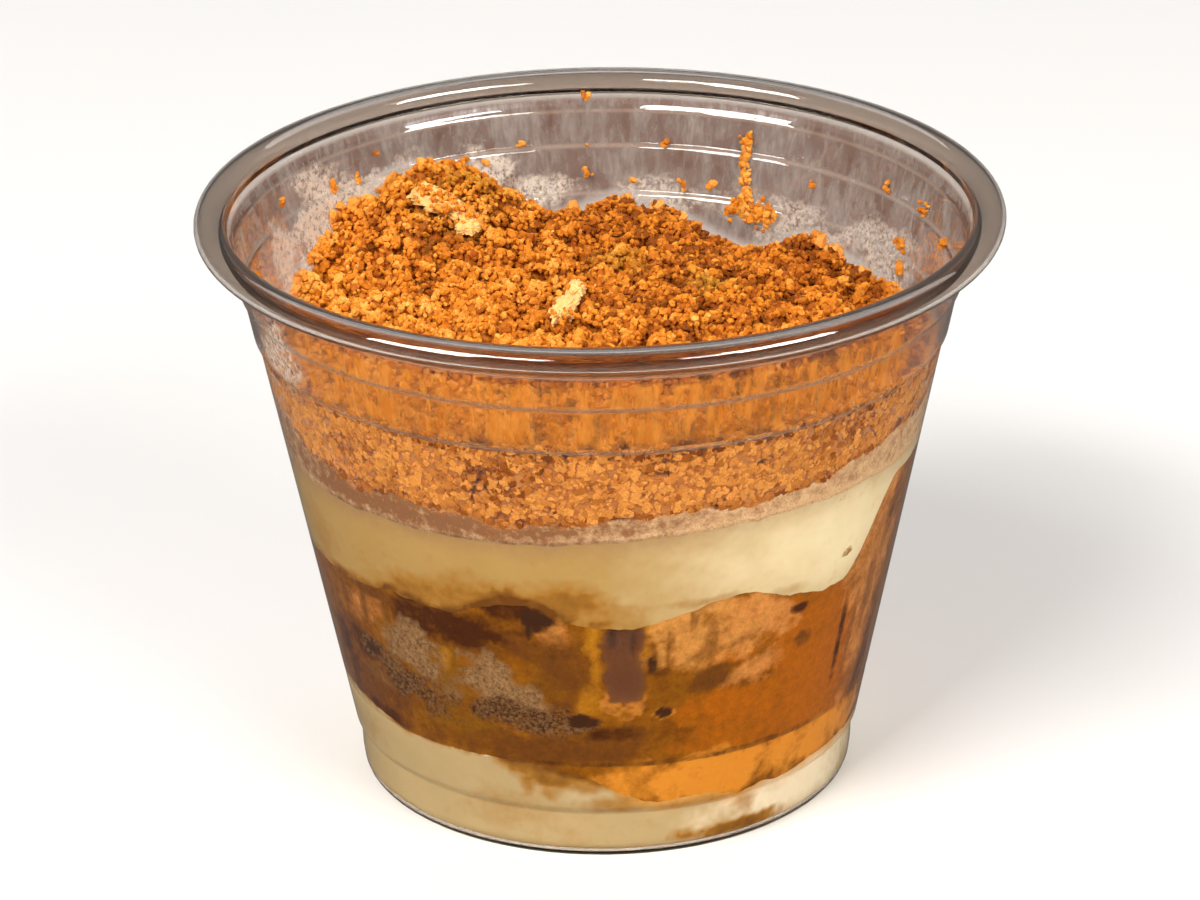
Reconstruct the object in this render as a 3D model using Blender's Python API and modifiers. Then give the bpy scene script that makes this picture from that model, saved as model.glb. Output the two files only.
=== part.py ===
"""Tiramisu layered in a clear plastic dessert cup: cream, soaked sponge biscuits, cream, and a heap of biscuit crumbs.

The cup stands on the origin with its axis along +Z, and -Y is its front.
Everything in it is cut from blocks that lie between two height functions, trimmed to the cup's inside.
"""

import math
import random

import bmesh
import bpy
from mathutils import Matrix, Vector, noise

MM = 0.001

# The cup: a thin turned wall with a foot band, two stacking ribs, a flange line and a rolled rim.
RIM_RADIUS = 46.0 * MM
RIM_TOP = 69.2 * MM
RIM_ROLL_WIDTH = 3.6 * MM
RIM_ROLL_HEIGHT = 3.1 * MM
BASE_RADIUS = 28.6 * MM
BASE_CORNER = 1.5 * MM
FOOT_HEIGHT = 6.0 * MM
FOOT_STEP = 0.6 * MM
WALL_SLOPE = 0.2046  # radius gained for each unit of height
RIB_HEIGHTS = (55.0 * MM, 60.6 * MM)
RIB_STEP = 0.35 * MM
FLANGE_HEIGHT = 64.7 * MM
WALL = 0.7 * MM
FLOOR = 0.9 * MM
TURN_STEPS = 48

# The food keeps this gap to the cup and between its pieces.
GAP = 0.3 * MM
CELL = 4.8 * MM  # grid of a smooth layer's faces
CRUMB_CELL = 3.4 * MM  # grid of the crumb heap's faces
BLOCK_HALF = 45.6 * MM
BELOW_FOOD = -2.0 * MM

# Mean heights where the layers meet.
CREAM_BASE_TOP = 9.6 * MM
BISCUIT_TOP = 31.3 * MM
CREAM_TOP = 43.3 * MM
HEAP_LEVEL = 55.6 * MM

# The biscuit that stands against the wall on the right: an upright oval, and how far it rises above the others.
UPRIGHT_CENTRE = Vector((36.0, 0.0)) * MM
UPRIGHT_HALF_WIDTH = 13.0 * MM
UPRIGHT_HALF_DEPTH = 22.0 * MM
UPRIGHT_RISE = 11.2 * MM

# Seam between the two lying biscuits, and the air pocket in it behind the front wall.
SEAM_X = 1.1 * MM
SEAM_SWING = 1.2 * MM
SEAM_WAVE = 21.0 * MM
POCKET_CENTRE = Vector((1.9, -33.5, 26.5)) * MM
POCKET_SIZE = Vector((1.6, 3.2, 6.6)) * MM

# Mounds (+) and hollows (-), each (x, y, height, spread) in millimetres.
CREAM_BASE_DUNES = ((-27, -10, 2.0, 7), (-15, -26, 0.9, 6), (10, -29, 0.8, 4), (27, -8, 1.4, 9), (-4, 14, 1.5, 10))
BISCUIT_DUNES = ((-24, -26, 1.2, 4), (-10, -33, 3.4, 4.5), (14, -31, 3.2, 6), (-14, 16, 2.2, 11), (4, 30, -1.2, 8))
CREAM_DUNES = ((0, 8, 0.7, 12), (-22, 20, 1.2, 9))
HEAP_DUNES = (
    (-19, 28, 7.9, 7.8),  # the mound at the back left
    (-7, 37, -3.6, 4.5),  # the valley beside it
    (18, 34, -5.2, 7),  # where the heap has slipped from the wall
    (36, 17, -4.4, 12),
    (-38, 13, -2.4, 6),
    (24, 29, 2.0, 3.2),
    (0, -6, 1.6, 14),
    (-18, -14, 0.9, 8),
    (20, -18, 0.6, 8),
)
HEAP_RELIEF = 0.55 * MM
RELIEF_SIZE = 3.4 * MM

# Clumps of crumbs that stand out of the heap.
CLUMP_COUNT = 100
CLUMP_RADII = (1.2 * MM, 2.5 * MM)
CLUMP_SPACING = 1.6  # centres are this many radii apart
CLUMP_CLEARANCE = 0.4 * MM
SEED = 11

# Dabs of cream that show through the crumbs: centre (x, y), half sizes (x, y, z), turn in degrees.
CREAM_DABS = {
    "cream_dab_front": (Vector((-3.6, -2.6)) * MM, Vector((1.1, 5.2, 1.9)) * MM, -10),
    "cream_dab_mound": (Vector((-17.2, 20.6)) * MM, Vector((4.8, 2.2, 1.6)) * MM, -26),
}
DAB_LIFT = 0.5 * MM


def clear_scene():
    for obj in list(bpy.data.objects):
        bpy.data.objects.remove(obj, do_unlink=True)


def make_collection(name):
    collection = bpy.data.collections.new(name)
    bpy.context.scene.collection.children.link(collection)
    return collection


def make_material(name, colour, roughness, alpha=1.0):
    material = bpy.data.materials.new(name)
    material.use_nodes = True
    shader = material.node_tree.nodes["Principled BSDF"]
    shader.inputs["Base Color"].default_value = (*colour, 1.0)
    shader.inputs["Roughness"].default_value = roughness
    shader.inputs["Metallic"].default_value = 0.0
    shader.inputs["Alpha"].default_value = alpha
    material.diffuse_color = (*colour, alpha)
    return material


def add_object(name, mesh, collection, material=None):
    obj = bpy.data.objects.new(name, mesh)
    collection.objects.link(obj)
    if material is not None:
        mesh.materials.append(material)
    return obj


def make_cutter(name, mesh, collection):
    obj = add_object(name, mesh, collection)
    obj.hide_render = True
    obj.display_type = "WIRE"
    return obj


def mesh_from(bm, name):
    bmesh.ops.recalc_face_normals(bm, faces=bm.faces)
    mesh = bpy.data.meshes.new(name)
    bm.to_mesh(mesh)
    bm.free()
    return mesh


def applied(obj):
    """The object with its modifiers made part of its mesh."""
    graph = bpy.context.evaluated_depsgraph_get()
    mesh = bpy.data.meshes.new_from_object(obj.evaluated_get(graph))
    obj.modifiers.clear()
    obj.data = mesh
    return obj


def boolean(obj, operation, other):
    modifier = obj.modifiers.new(operation.title(), "BOOLEAN")
    modifier.operation = operation
    modifier.solver = "EXACT"
    modifier.object = other
    return modifier


def turned(name, profile, collection, material=None):
    """A profile of (radius, height) points, outer side downwards, turned about Z."""
    mesh = bpy.data.meshes.new(name)
    edges = [(i, i + 1) for i in range(len(profile) - 1)]
    mesh.from_pydata([(radius, 0.0, height) for radius, height in profile], edges, [])
    obj = add_object(name, mesh, collection, material)
    screw = obj.modifiers.new("Turn", "SCREW")
    screw.steps = TURN_STEPS
    screw.render_steps = TURN_STEPS
    screw.use_merge_vertices = True
    screw.merge_threshold = 0.00001
    return obj


def wall_radius(height):
    """Radius of the wall's outer face: a band at the foot, then a cone that steps out at each rib."""
    if height <= FOOT_HEIGHT:
        return BASE_RADIUS + 0.05 * height
    radius = BASE_RADIUS + 0.05 * FOOT_HEIGHT
    radius += FOOT_STEP * min(1.0, (height - FOOT_HEIGHT) / (0.8 * MM))
    radius += WALL_SLOPE * max(0.0, height - FOOT_HEIGHT - 0.8 * MM)
    for rib in RIB_HEIGHTS:
        radius += RIB_STEP * min(1.0, max(0.0, (height - rib + 0.3 * MM) / (0.6 * MM)))
    return radius


def wall_heights():
    """The heights at which the wall's profile has a corner, from the foot up."""
    heights = [FOOT_HEIGHT, FOOT_HEIGHT + 0.8 * MM]
    for rib in RIB_HEIGHTS:
        heights += [rib - 0.3 * MM, rib + 0.3 * MM]
    return heights + [FLANGE_HEIGHT]


def inner_profile(inset, floor):
    """Inside of the cup from the floor's middle to the flange, moved inwards by inset."""
    corner = BASE_RADIUS - WALL - inset
    points = [(0.0, floor), (corner - 0.9 * MM, floor), (corner - 0.1 * MM, floor + 0.9 * MM)]
    return points + [(wall_radius(z) - WALL - inset, z) for z in wall_heights()]


def rim_profile():
    """The rolled rim, from where the inner wall meets it, over the top and round to the outer wall."""
    centre_r = RIM_RADIUS - RIM_ROLL_WIDTH / 2
    centre_z = RIM_TOP - RIM_ROLL_HEIGHT / 2
    points = []
    for degrees in (200, 170, 140, 110, 80, 50, 20, -10, -40, -70, -105):
        angle = math.radians(degrees)
        points.append((
            centre_r + RIM_ROLL_WIDTH / 2 * math.cos(angle),
            centre_z + RIM_ROLL_HEIGHT / 2 * math.sin(angle),
        ))
    # One point right at the widest place and one at the top give the rim its full size.
    points[7] = (RIM_RADIUS, centre_z)
    points[4] = (centre_r, RIM_TOP)
    return points


def base_corner_profile():
    """The rounded corner at the bottom, outer side downwards."""
    centre = BASE_RADIUS - BASE_CORNER
    angles = [math.radians(a) for a in (0, -45, -90)]
    return [(centre + BASE_CORNER * math.cos(a), BASE_CORNER * (1 + math.sin(a))) for a in angles]


def make_cup(collection):
    outer = [(wall_radius(z), z) for z in reversed(wall_heights())]
    profile = inner_profile(0.0, FLOOR) + rim_profile() + outer + base_corner_profile() + [(0.0, 0.0)]
    plastic = make_material("clear plastic", (0.85, 0.84, 0.82), 0.08, alpha=0.25)
    cup = applied(turned("cup", profile, collection, plastic))
    cup.data.shade_smooth()
    cup.data.set_sharp_from_angle(angle=math.radians(40))
    return cup


def make_cavity(cutters):
    """The room for the food: the cup's inside less the gap, carried straight up past the rim."""
    inner = inner_profile(GAP, FLOOR + GAP)
    top = (inner[-1][0], RIM_TOP + 8 * MM)
    profile = [(0.0, top[1]), top] + list(reversed(inner))
    cavity = applied(turned("cavity", profile, cutters))
    cavity.hide_render = True
    cavity.display_type = "WIRE"
    return cavity


def dunes(x, y, shapes):
    """Sum of round mounds and hollows at (x, y)."""
    total = 0.0
    for centre_x, centre_y, height, spread in shapes:
        distance = math.hypot(x / MM - centre_x, y / MM - centre_y)
        total += height * math.exp(-0.5 * (distance / spread) ** 2)
    return total * MM


def smooth_step(value, start, end):
    share = min(1.0, max(0.0, (value - start) / (end - start)))
    return share * share * (3 - 2 * share)


def upright_share(x, y):
    """1 inside the standing biscuit, falling to 0 around it; the oval itself is at one half."""
    across = (x - UPRIGHT_CENTRE.x) / UPRIGHT_HALF_WIDTH
    along = (y - UPRIGHT_CENTRE.y) / UPRIGHT_HALF_DEPTH
    return 1.0 - smooth_step(math.hypot(across, along), 0.68, 1.26)


def cream_base_top(x, y):
    """The first cream is thick on the left and thin on the right."""
    return CREAM_BASE_TOP - 2.7 * MM * math.tanh((x - 0.5 * MM) / (4 * MM)) + dunes(x, y, CREAM_BASE_DUNES)


def biscuit_top(x, y):
    return BISCUIT_TOP + dunes(x, y, BISCUIT_DUNES) * (1 - upright_share(x, y)) + UPRIGHT_RISE * upright_share(x, y)


def cream_top(x, y):
    return CREAM_TOP + 0.9 * MM * math.tanh(x / (14 * MM)) + dunes(x, y, CREAM_DUNES)


def heap_top(x, y):
    relief = noise.noise(Vector((x, y, 0.0)) / RELIEF_SIZE)
    return HEAP_LEVEL + dunes(x, y, HEAP_DUNES) + HEAP_RELIEF * relief


def make_layer(name, floor, roof, cell, cavity, collection, material):
    """Food between the height functions floor and roof, trimmed to the cup and half a gap short of its neighbours."""
    bm = bmesh.new()
    count = round(2 * BLOCK_HALF / cell)
    bmesh.ops.create_grid(bm, x_segments=count, y_segments=count, size=BLOCK_HALF)
    bmesh.ops.triangulate(bm, faces=bm.faces[:], quad_method="FIXED")
    lower = bm.verts[:]
    made = bmesh.ops.extrude_face_region(bm, geom=bm.faces[:], use_keep_orig=True)
    upper = [item for item in made["geom"] if isinstance(item, bmesh.types.BMVert)]
    for vert in lower:
        vert.co.z = floor(vert.co.x, vert.co.y) + GAP / 2
    for vert in upper:
        vert.co.z = roof(vert.co.x, vert.co.y) - GAP / 2
    layer = add_object(name, mesh_from(bm, name), collection, material)
    boolean(layer, "INTERSECT", cavity)
    return applied(layer)


def seam_x(y):
    return SEAM_X + SEAM_SWING * math.sin(y / SEAM_WAVE * math.tau / 2)


def make_seam_cutter(side, cutters):
    """A block over everything on one side (+1 right, -1 left) of the wavy seam, half a gap clear of it."""
    bm = bmesh.new()
    rows = 16
    for row in range(rows + 1):
        y = BLOCK_HALF * (2 * row / rows - 1)
        near = bm.verts.new((seam_x(y) - side * GAP / 2, y, BELOW_FOOD))
        far = bm.verts.new((-side * 2 * BLOCK_HALF, y, BELOW_FOOD))
        if row:
            bm.faces.new((last_near, near, far, last_far))
        last_near, last_far = near, far
    made = bmesh.ops.extrude_face_region(bm, geom=bm.faces[:], use_keep_orig=True)
    for item in made["geom"]:
        if isinstance(item, bmesh.types.BMVert):
            item.co.z = RIM_TOP
    return make_cutter(f"seam_cutter_{'right' if side > 0 else 'left'}", mesh_from(bm, "seam"), cutters)


def make_oval_cutter(name, grow, cutters):
    """The standing biscuit's outline as an upright oval prism, grown by grow all round."""
    bm = bmesh.new()
    height = RIM_TOP - BELOW_FOOD
    bmesh.ops.create_cone(bm, cap_ends=True, segments=40, radius1=1.0, radius2=1.0, depth=height)
    size = (UPRIGHT_HALF_WIDTH + grow, UPRIGHT_HALF_DEPTH + grow, 1.0)
    bmesh.ops.scale(bm, vec=size, verts=bm.verts[:])
    middle = (UPRIGHT_CENTRE.x, UPRIGHT_CENTRE.y, BELOW_FOOD + height / 2)
    bmesh.ops.translate(bm, vec=middle, verts=bm.verts[:])
    return make_cutter(name, mesh_from(bm, name), cutters)


def make_pocket_cutter(cutters):
    bm = bmesh.new()
    bmesh.ops.create_icosphere(bm, subdivisions=2, radius=1.0)
    bmesh.ops.scale(bm, vec=POCKET_SIZE, verts=bm.verts[:])
    bmesh.ops.translate(bm, vec=POCKET_CENTRE, verts=bm.verts[:])
    return make_cutter("pocket_cutter", mesh_from(bm, "pocket"), cutters)


def make_biscuits(cavity, collection, cutters):
    """The soaked layer, split into the biscuit on the left, the one on the right and the one that stands by the wall."""
    sponge = make_material("soaked sponge", (0.30, 0.11, 0.02), 0.45)
    block_name = "biscuit_block"
    block = make_layer(block_name, cream_base_top, biscuit_top, CELL, cavity, cutters, sponge)
    left_side = make_seam_cutter(+1, cutters)
    right_side = make_seam_cutter(-1, cutters)
    around = make_oval_cutter("oval_around", GAP / 2, cutters)
    inside = make_oval_cutter("oval_inside", -GAP / 2, cutters)
    pocket = make_pocket_cutter(cutters)
    cuts = {
        "biscuit_left": (("INTERSECT", left_side), ("DIFFERENCE", pocket)),
        "biscuit_right": (("INTERSECT", right_side), ("DIFFERENCE", around), ("DIFFERENCE", pocket)),
        "biscuit_upright": (("INTERSECT", inside),),
    }
    for name, steps in cuts.items():
        biscuit = add_object(name, block.data.copy(), collection)
        for operation, cutter in steps:
            boolean(biscuit, operation, cutter)
        applied(biscuit)
    bpy.data.objects.remove(block, do_unlink=True)


def clump_places():
    """Seeded places for the clumps, largest first, clear of each other, of the cup and of the cream dabs."""
    draw = random.Random(SEED)
    small, large = CLUMP_RADII
    placed = []
    for index in range(CLUMP_COUNT):
        radius = large + (small - large) * (index / CLUMP_COUNT) ** 0.6
        reach = wall_radius(HEAP_LEVEL) - WALL - GAP - CLUMP_CLEARANCE - radius
        for _ in range(60):
            distance = reach * math.sqrt(draw.random())
            angle = draw.uniform(0.0, math.tau)
            x, y = distance * math.cos(angle), distance * math.sin(angle)
            near_dab = any(
                math.hypot(x - centre.x, y - centre.y) < radius + max(size.x, size.y) + GAP
                for centre, size, _ in CREAM_DABS.values()
            )
            near_clump = any(
                math.hypot(x - px, y - py) < CLUMP_SPACING * (radius + other) / 2
                for px, py, other in placed
            )
            if not near_dab and not near_clump:
                placed.append((x, y, radius))
                break
    return placed


def make_clump(x, y, radius, draw, helpers):
    """A lump of few sides, turned and stretched at random, set a little above the heap's face."""
    bm = bmesh.new()
    bmesh.ops.create_icosphere(bm, subdivisions=1, radius=radius)
    for vert in bm.verts:
        vert.co *= draw.uniform(0.82, 1.12)
    turn = Matrix.Rotation(draw.uniform(0, math.tau), 4, "Z") @ Matrix.Rotation(draw.uniform(0, math.tau), 4, "X")
    place = Vector((x, y, heap_top(x, y) + 0.15 * radius))
    bmesh.ops.transform(bm, matrix=Matrix.Translation(place) @ turn, verts=bm.verts[:])
    return add_object("clump", mesh_from(bm, "clump"), helpers)


def dab_mesh(centre, size, turn, grow):
    """A dab as a rounded ridge that follows the heap's slope, grown by grow all round."""
    bm = bmesh.new()
    bmesh.ops.create_icosphere(bm, subdivisions=2, radius=1.0)
    bmesh.ops.scale(bm, vec=size + Vector((grow, grow, grow)), verts=bm.verts[:])
    height = HEAP_LEVEL + dunes(*centre, HEAP_DUNES)
    slope_x = (HEAP_LEVEL + dunes(centre.x + MM, centre.y, HEAP_DUNES) - height) / MM
    slope_y = (HEAP_LEVEL + dunes(centre.x, centre.y + MM, HEAP_DUNES) - height) / MM
    lean = Vector((0, 0, 1)).rotation_difference(Vector((-slope_x, -slope_y, 1))).to_matrix().to_4x4()
    place = Matrix.Translation((centre.x, centre.y, height + DAB_LIFT - size.z / 2))
    matrix = place @ lean @ Matrix.Rotation(math.radians(turn), 4, "Z")
    bmesh.ops.transform(bm, matrix=matrix, verts=bm.verts[:])
    return mesh_from(bm, "dab")


def make_crumbs(cavity, collection, cutters):
    """The heap: one uneven core with the larger clumps fused on, and a socket for each dab of cream."""
    material = make_material("biscuit crumbs", (0.60, 0.24, 0.05), 0.85)
    crumbs = make_layer("crumbs", cream_top, heap_top, CRUMB_CELL, cavity, collection, material)
    clumps = bpy.data.collections.new("clumps")
    cutters.children.link(clumps)
    draw = random.Random(SEED)
    for x, y, radius in clump_places():
        make_clump(x, y, radius, draw, clumps)
    union = crumbs.modifiers.new("Clumps", "BOOLEAN")
    union.operation = "UNION"
    union.operand_type = "COLLECTION"
    union.collection = clumps
    union.solver = "EXACT"
    applied(crumbs)
    for obj in list(clumps.objects):
        bpy.data.objects.remove(obj, do_unlink=True)
    bpy.data.collections.remove(clumps)
    for name, (centre, size, turn) in CREAM_DABS.items():
        socket = make_cutter(f"{name}_socket", dab_mesh(centre, size, turn, GAP), cutters)
        boolean(crumbs, "DIFFERENCE", socket)
    return applied(crumbs)


def make_dabs(collection, material):
    for name, (centre, size, turn) in CREAM_DABS.items():
        dab = add_object(name, dab_mesh(centre, size, turn, 0.0), collection, material)
        dab.data.shade_smooth()


def main():
    clear_scene()
    parts = make_collection("tiramisu_cup")
    cutters = make_collection("cutters")
    cutters.hide_render = True
    cream = make_material("cream", (0.84, 0.66, 0.36), 0.45)
    make_cup(parts)
    cavity = make_cavity(cutters)
    make_layer("cream_base", lambda x, y: BELOW_FOOD, cream_base_top, CELL, cavity, parts, cream)
    make_biscuits(cavity, parts, cutters)
    make_layer("cream_top", biscuit_top, cream_top, CELL, cavity, parts, cream)
    make_crumbs(cavity, parts, cutters)
    make_dabs(parts, cream)


main()
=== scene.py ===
"""Tiramisu in a clear cup: plastic, cream, soaked biscuits and crumbs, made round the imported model."""

import math
import random

import bpy
import numpy as np
from bpy.props import FloatProperty, FloatVectorProperty, IntProperty, PointerProperty
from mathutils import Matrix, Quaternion, Vector, noise


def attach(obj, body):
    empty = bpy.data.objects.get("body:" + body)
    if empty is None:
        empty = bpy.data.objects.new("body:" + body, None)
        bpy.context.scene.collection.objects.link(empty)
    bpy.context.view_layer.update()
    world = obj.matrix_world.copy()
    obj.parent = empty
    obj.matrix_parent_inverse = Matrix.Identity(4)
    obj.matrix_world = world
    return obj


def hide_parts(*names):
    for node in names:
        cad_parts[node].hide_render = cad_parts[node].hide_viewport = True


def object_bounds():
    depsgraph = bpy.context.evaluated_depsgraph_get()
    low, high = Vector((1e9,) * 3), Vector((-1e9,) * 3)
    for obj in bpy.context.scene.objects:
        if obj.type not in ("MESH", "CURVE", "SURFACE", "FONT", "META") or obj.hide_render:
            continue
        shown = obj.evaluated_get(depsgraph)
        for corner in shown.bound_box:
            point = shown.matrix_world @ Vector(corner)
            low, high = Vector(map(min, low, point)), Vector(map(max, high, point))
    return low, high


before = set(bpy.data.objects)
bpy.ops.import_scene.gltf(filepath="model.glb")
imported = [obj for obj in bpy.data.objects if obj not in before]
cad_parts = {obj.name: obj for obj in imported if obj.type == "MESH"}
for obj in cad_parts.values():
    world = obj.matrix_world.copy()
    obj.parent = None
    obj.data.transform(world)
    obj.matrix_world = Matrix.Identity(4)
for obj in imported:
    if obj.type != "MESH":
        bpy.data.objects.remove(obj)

CAD_LOW, CAD_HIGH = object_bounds()

bl_info = {
    "name": "Tiramisu cup",
    "version": (1, 0, 0),
    "blender": (4, 5, 0),
    "location": "3D View > Sidebar > Tiramisu",
    "description": "Builds a layered tiramisu in a clear plastic dessert cup",
    "category": "Add Mesh",
}

MM = 0.001
BODY = "root"

# ---- The cup's wall, as turned sizes --------------------
RIM_TOP = CAD_HIGH.z
RIM_RADIUS = CAD_HIGH.x
CURL_WIDTH = 3.6 * MM
CURL_HEIGHT = 3.1 * MM
CURL_SHEET = 0.5 * MM
BASE_RADIUS = 28.6 * MM
BASE_CORNER = 1.5 * MM
FLOOR_CORNER_HEIGHT = 1.2 * MM
FLOOR_CORNER_DEPTH = 1.0 * MM
FOOT_HEIGHT = 6.0 * MM
FOOT_SLOPE = 0.05
FOOT_STEP = 0.6 * MM
FOOT_STEP_HEIGHT = 0.8 * MM
WALL_SLOPE = 0.2046
RIB_HEIGHTS = (55.0 * MM, 60.6 * MM)
RIB_STEP = 0.35 * MM
RIB_HALF = 0.3 * MM
LINE_HEIGHT = 12.7 * MM  # the fine stacking line above the foot
LINE_DEPTH = 0.12 * MM
LINE_HALF = 0.28 * MM
FLANGE_HEIGHT = 64.7 * MM
WALL = 0.7 * MM
FLOOR = 0.9 * MM
INTO_WALL = 0.12 * MM  # how far the food reaches into the plastic, so that no air shows between them

# ---- The food's layers: mean heights, and mounds and dips as (x, y, height, spread) in millimetres ---
CREAM_BASE_TOP = 9.6 * MM
CREAM_BASE_DROP = 2.7 * MM  # from the mean height: up on the left and down on the right
CREAM_BASE_DROP_X = 0.5 * MM
CREAM_BASE_DROP_WIDTH = 4 * MM
BISCUIT_TOP = 31.3 * MM
CREAM_TOP = 43.3 * MM
CREAM_RISE = 0.9 * MM  # towards the right
CREAM_RISE_WIDTH = 14 * MM
HEAP_LEVEL = 55.6 * MM
CREAM_BASE_DUNES = (
    (-27, -10, 2.0, 7), (-15, -26, 0.9, 6), (10, -29, 0.8, 4), (27, -8, 1.4, 9), (-4, 14, 1.5, 10),
)
BISCUIT_DUNES = (
    (-24, -26, 1.2, 4), (-10, -33, 3.4, 4.5), (14, -31, 3.2, 6), (-14, 16, 2.2, 11), (4, 30, -1.2, 8),
)
CREAM_DUNES = ((0, 8, 0.7, 12), (-22, 20, 1.2, 9))
HEAP_DUNES = (
    (-19, 28, 7.0, 7.6), (-7, 37, -3.6, 4.5), (18, 34, -5.2, 7), (36, 17, -4.4, 12), (-38, 13, -2.4, 6),
    (24, 29, 2.0, 3.2), (0, -6, 1.6, 14), (-18, -14, 0.9, 8), (20, -18, 0.6, 8),
)
UPRIGHT_CENTRE = Vector((36.0, 0.0)) * MM
UPRIGHT_HALF_WIDTH = 13.0 * MM
UPRIGHT_HALF_DEPTH = 22.0 * MM
UPRIGHT_RISE = 11.2 * MM
UPRIGHT_BLEND = (0.68, 1.26)  # where its top falls off, as shares of its half sizes
SEAM_X = 1.1 * MM
SEAM_SWING = 1.2 * MM
SEAM_WAVE = 21.0 * MM


# ==== Helpers ====================


def smooth_step(value, start, end):
    share = np.clip((value - start) / (end - start), 0.0, 1.0)
    return share * share * (3 - 2 * share)


def wall_radius(height):
    """Radius of the wall's outer face at each height."""
    z = np.asarray(height, float)
    radius = BASE_RADIUS + FOOT_SLOPE * np.minimum(z, FOOT_HEIGHT)
    radius = radius + FOOT_STEP * np.clip((z - FOOT_HEIGHT) / FOOT_STEP_HEIGHT, 0, 1)
    radius = radius + WALL_SLOPE * np.maximum(0.0, z - FOOT_HEIGHT - FOOT_STEP_HEIGHT)
    for rib in RIB_HEIGHTS:
        radius = radius + RIB_STEP * np.clip((z - rib + RIB_HALF) / (2 * RIB_HALF), 0, 1)
    return radius


def inner_radius(height):
    """Radius of the wall's inner face, with the rounded corner above the floor."""
    z = np.asarray(height, float)
    corner = np.clip((z - FLOOR) / FLOOR_CORNER_HEIGHT, 0, 1)
    return wall_radius(z) - WALL - FLOOR_CORNER_DEPTH * (1 - np.sqrt(1 - (1 - corner) ** 2))


def dunes(x, y, shapes):
    """How far mounds and dips lift each (x, y)."""
    total = np.zeros(np.broadcast(x, y).shape)
    for centre_x, centre_y, height, spread in shapes:
        distance = np.hypot(x / MM - centre_x, y / MM - centre_y)
        total = total + height * np.exp(-0.5 * (distance / spread) ** 2)
    return total * MM


def upright_share(x, y):
    """1 over the middle of the upright biscuit, falling to 0 round it."""
    across = (x - UPRIGHT_CENTRE.x) / UPRIGHT_HALF_WIDTH
    along = (y - UPRIGHT_CENTRE.y) / UPRIGHT_HALF_DEPTH
    return 1.0 - smooth_step(np.hypot(across, along), *UPRIGHT_BLEND)


def roughened(height, x, y, *grains):
    """The height with noise laid on it. A grain is its depth and size in millimetres, and its seed."""
    shape = np.broadcast(x, y).shape
    xs, ys = np.broadcast_arrays(x, y)
    for depth, size_mm, seed in grains:
        size = size_mm * MM
        found = [noise.noise((a / size, b / size, seed)) for a, b in zip(xs.ravel(), ys.ravel())]
        height = height + depth * MM * np.array(found).reshape(shape)
    return height


def cream_base_top(x, y):
    level = CREAM_BASE_TOP - CREAM_BASE_DROP * np.tanh((x - CREAM_BASE_DROP_X) / CREAM_BASE_DROP_WIDTH)
    smooth = level + dunes(x, y, CREAM_BASE_DUNES)
    return roughened(smooth, x, y, (0.45, 4, 3.1), (0.28, 1.2, 7.7))


def biscuit_top(x, y):
    up = upright_share(x, y)
    smooth = BISCUIT_TOP + dunes(x, y, BISCUIT_DUNES) * (1 - up) + UPRIGHT_RISE * up
    return roughened(smooth, x, y, (0.45, 3, 1.7), (0.2, 0.9, 5.3))


def cream_top(x, y):
    smooth = CREAM_TOP + CREAM_RISE * np.tanh(x / CREAM_RISE_WIDTH) + dunes(x, y, CREAM_DUNES)
    return roughened(smooth, x, y, (0.30, 5, 9.2), (0.22, 1.3, 2.4))


def heap_top(x, y):
    return HEAP_LEVEL + dunes(x, y, HEAP_DUNES)


def seam_x(y):
    """x of the seam between the left and the right biscuit."""
    return SEAM_X + SEAM_SWING * np.sin(y / SEAM_WAVE * math.pi)


def azimuth(x, y):
    """Degrees round the cup: 0 at the front, + to the right."""
    return np.degrees(np.arctan2(x, -y))


def mirrored(turn):
    """Degrees round the cup with its far side folded onto its near side."""
    return np.where(np.abs(turn) < 90, turn, np.sign(turn) * 180 - turn)


def around(angle, radius, height):
    """Points from an angle round the cup in radians, a radius and a height."""
    return np.stack([radius * np.sin(angle), -radius * np.cos(angle), height], axis=-1)


def deselect():
    if bpy.context.mode != "OBJECT":
        bpy.ops.object.mode_set(mode="OBJECT")
    bpy.ops.object.select_all(action="DESELECT")


def activate(obj):
    deselect()
    obj.select_set(True)
    bpy.context.view_layer.objects.active = obj


def link(name, mesh):
    obj = bpy.data.objects.new(name, mesh)
    bpy.context.scene.collection.objects.link(obj)
    return obj


def coordinates(mesh):
    found = np.empty(len(mesh.vertices) * 3)
    mesh.vertices.foreach_get("co", found)
    return found.reshape(-1, 3)


def set_coordinates(mesh, points):
    mesh.vertices.foreach_set("co", np.asarray(points, np.float32).ravel())
    mesh.update()


def store(mesh, **attributes):
    """Stores a number for each vertex under each name, for the materials to read."""
    for name, values in attributes.items():
        attribute = mesh.attributes.get(name) or mesh.attributes.new(name, "FLOAT", "POINT")
        attribute.data.foreach_set("value", np.full(len(mesh.vertices), values, np.float32))


def spun(name, profile, steps):
    """A profile of (radius, height) points in the XZ plane, spun right round Z in edit mode."""
    mesh = bpy.data.meshes.new(name)
    edges = [(i, i + 1) for i in range(len(profile) - 1)]
    mesh.from_pydata([(r, 0.0, z) for r, z in profile], edges, [])
    obj = link(name, mesh)
    activate(obj)
    bpy.ops.object.mode_set(mode="EDIT")
    bpy.ops.mesh.select_all(action="SELECT")
    bpy.ops.mesh.spin(steps=steps, angle=math.tau, center=(0, 0, 0), axis=(0, 0, 1))
    bpy.ops.mesh.select_all(action="SELECT")
    bpy.ops.mesh.remove_doubles(threshold=1e-6)
    bpy.ops.mesh.normals_make_consistent(inside=False)
    bpy.ops.object.mode_set(mode="OBJECT")
    return obj


def finish_piece(obj, material, slot, *nodes):
    obj.data.materials.clear()
    obj.data.materials.append(material)
    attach(obj, BODY)
    if nodes:
        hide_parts(*nodes)


# ==== Materials ====================

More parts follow.
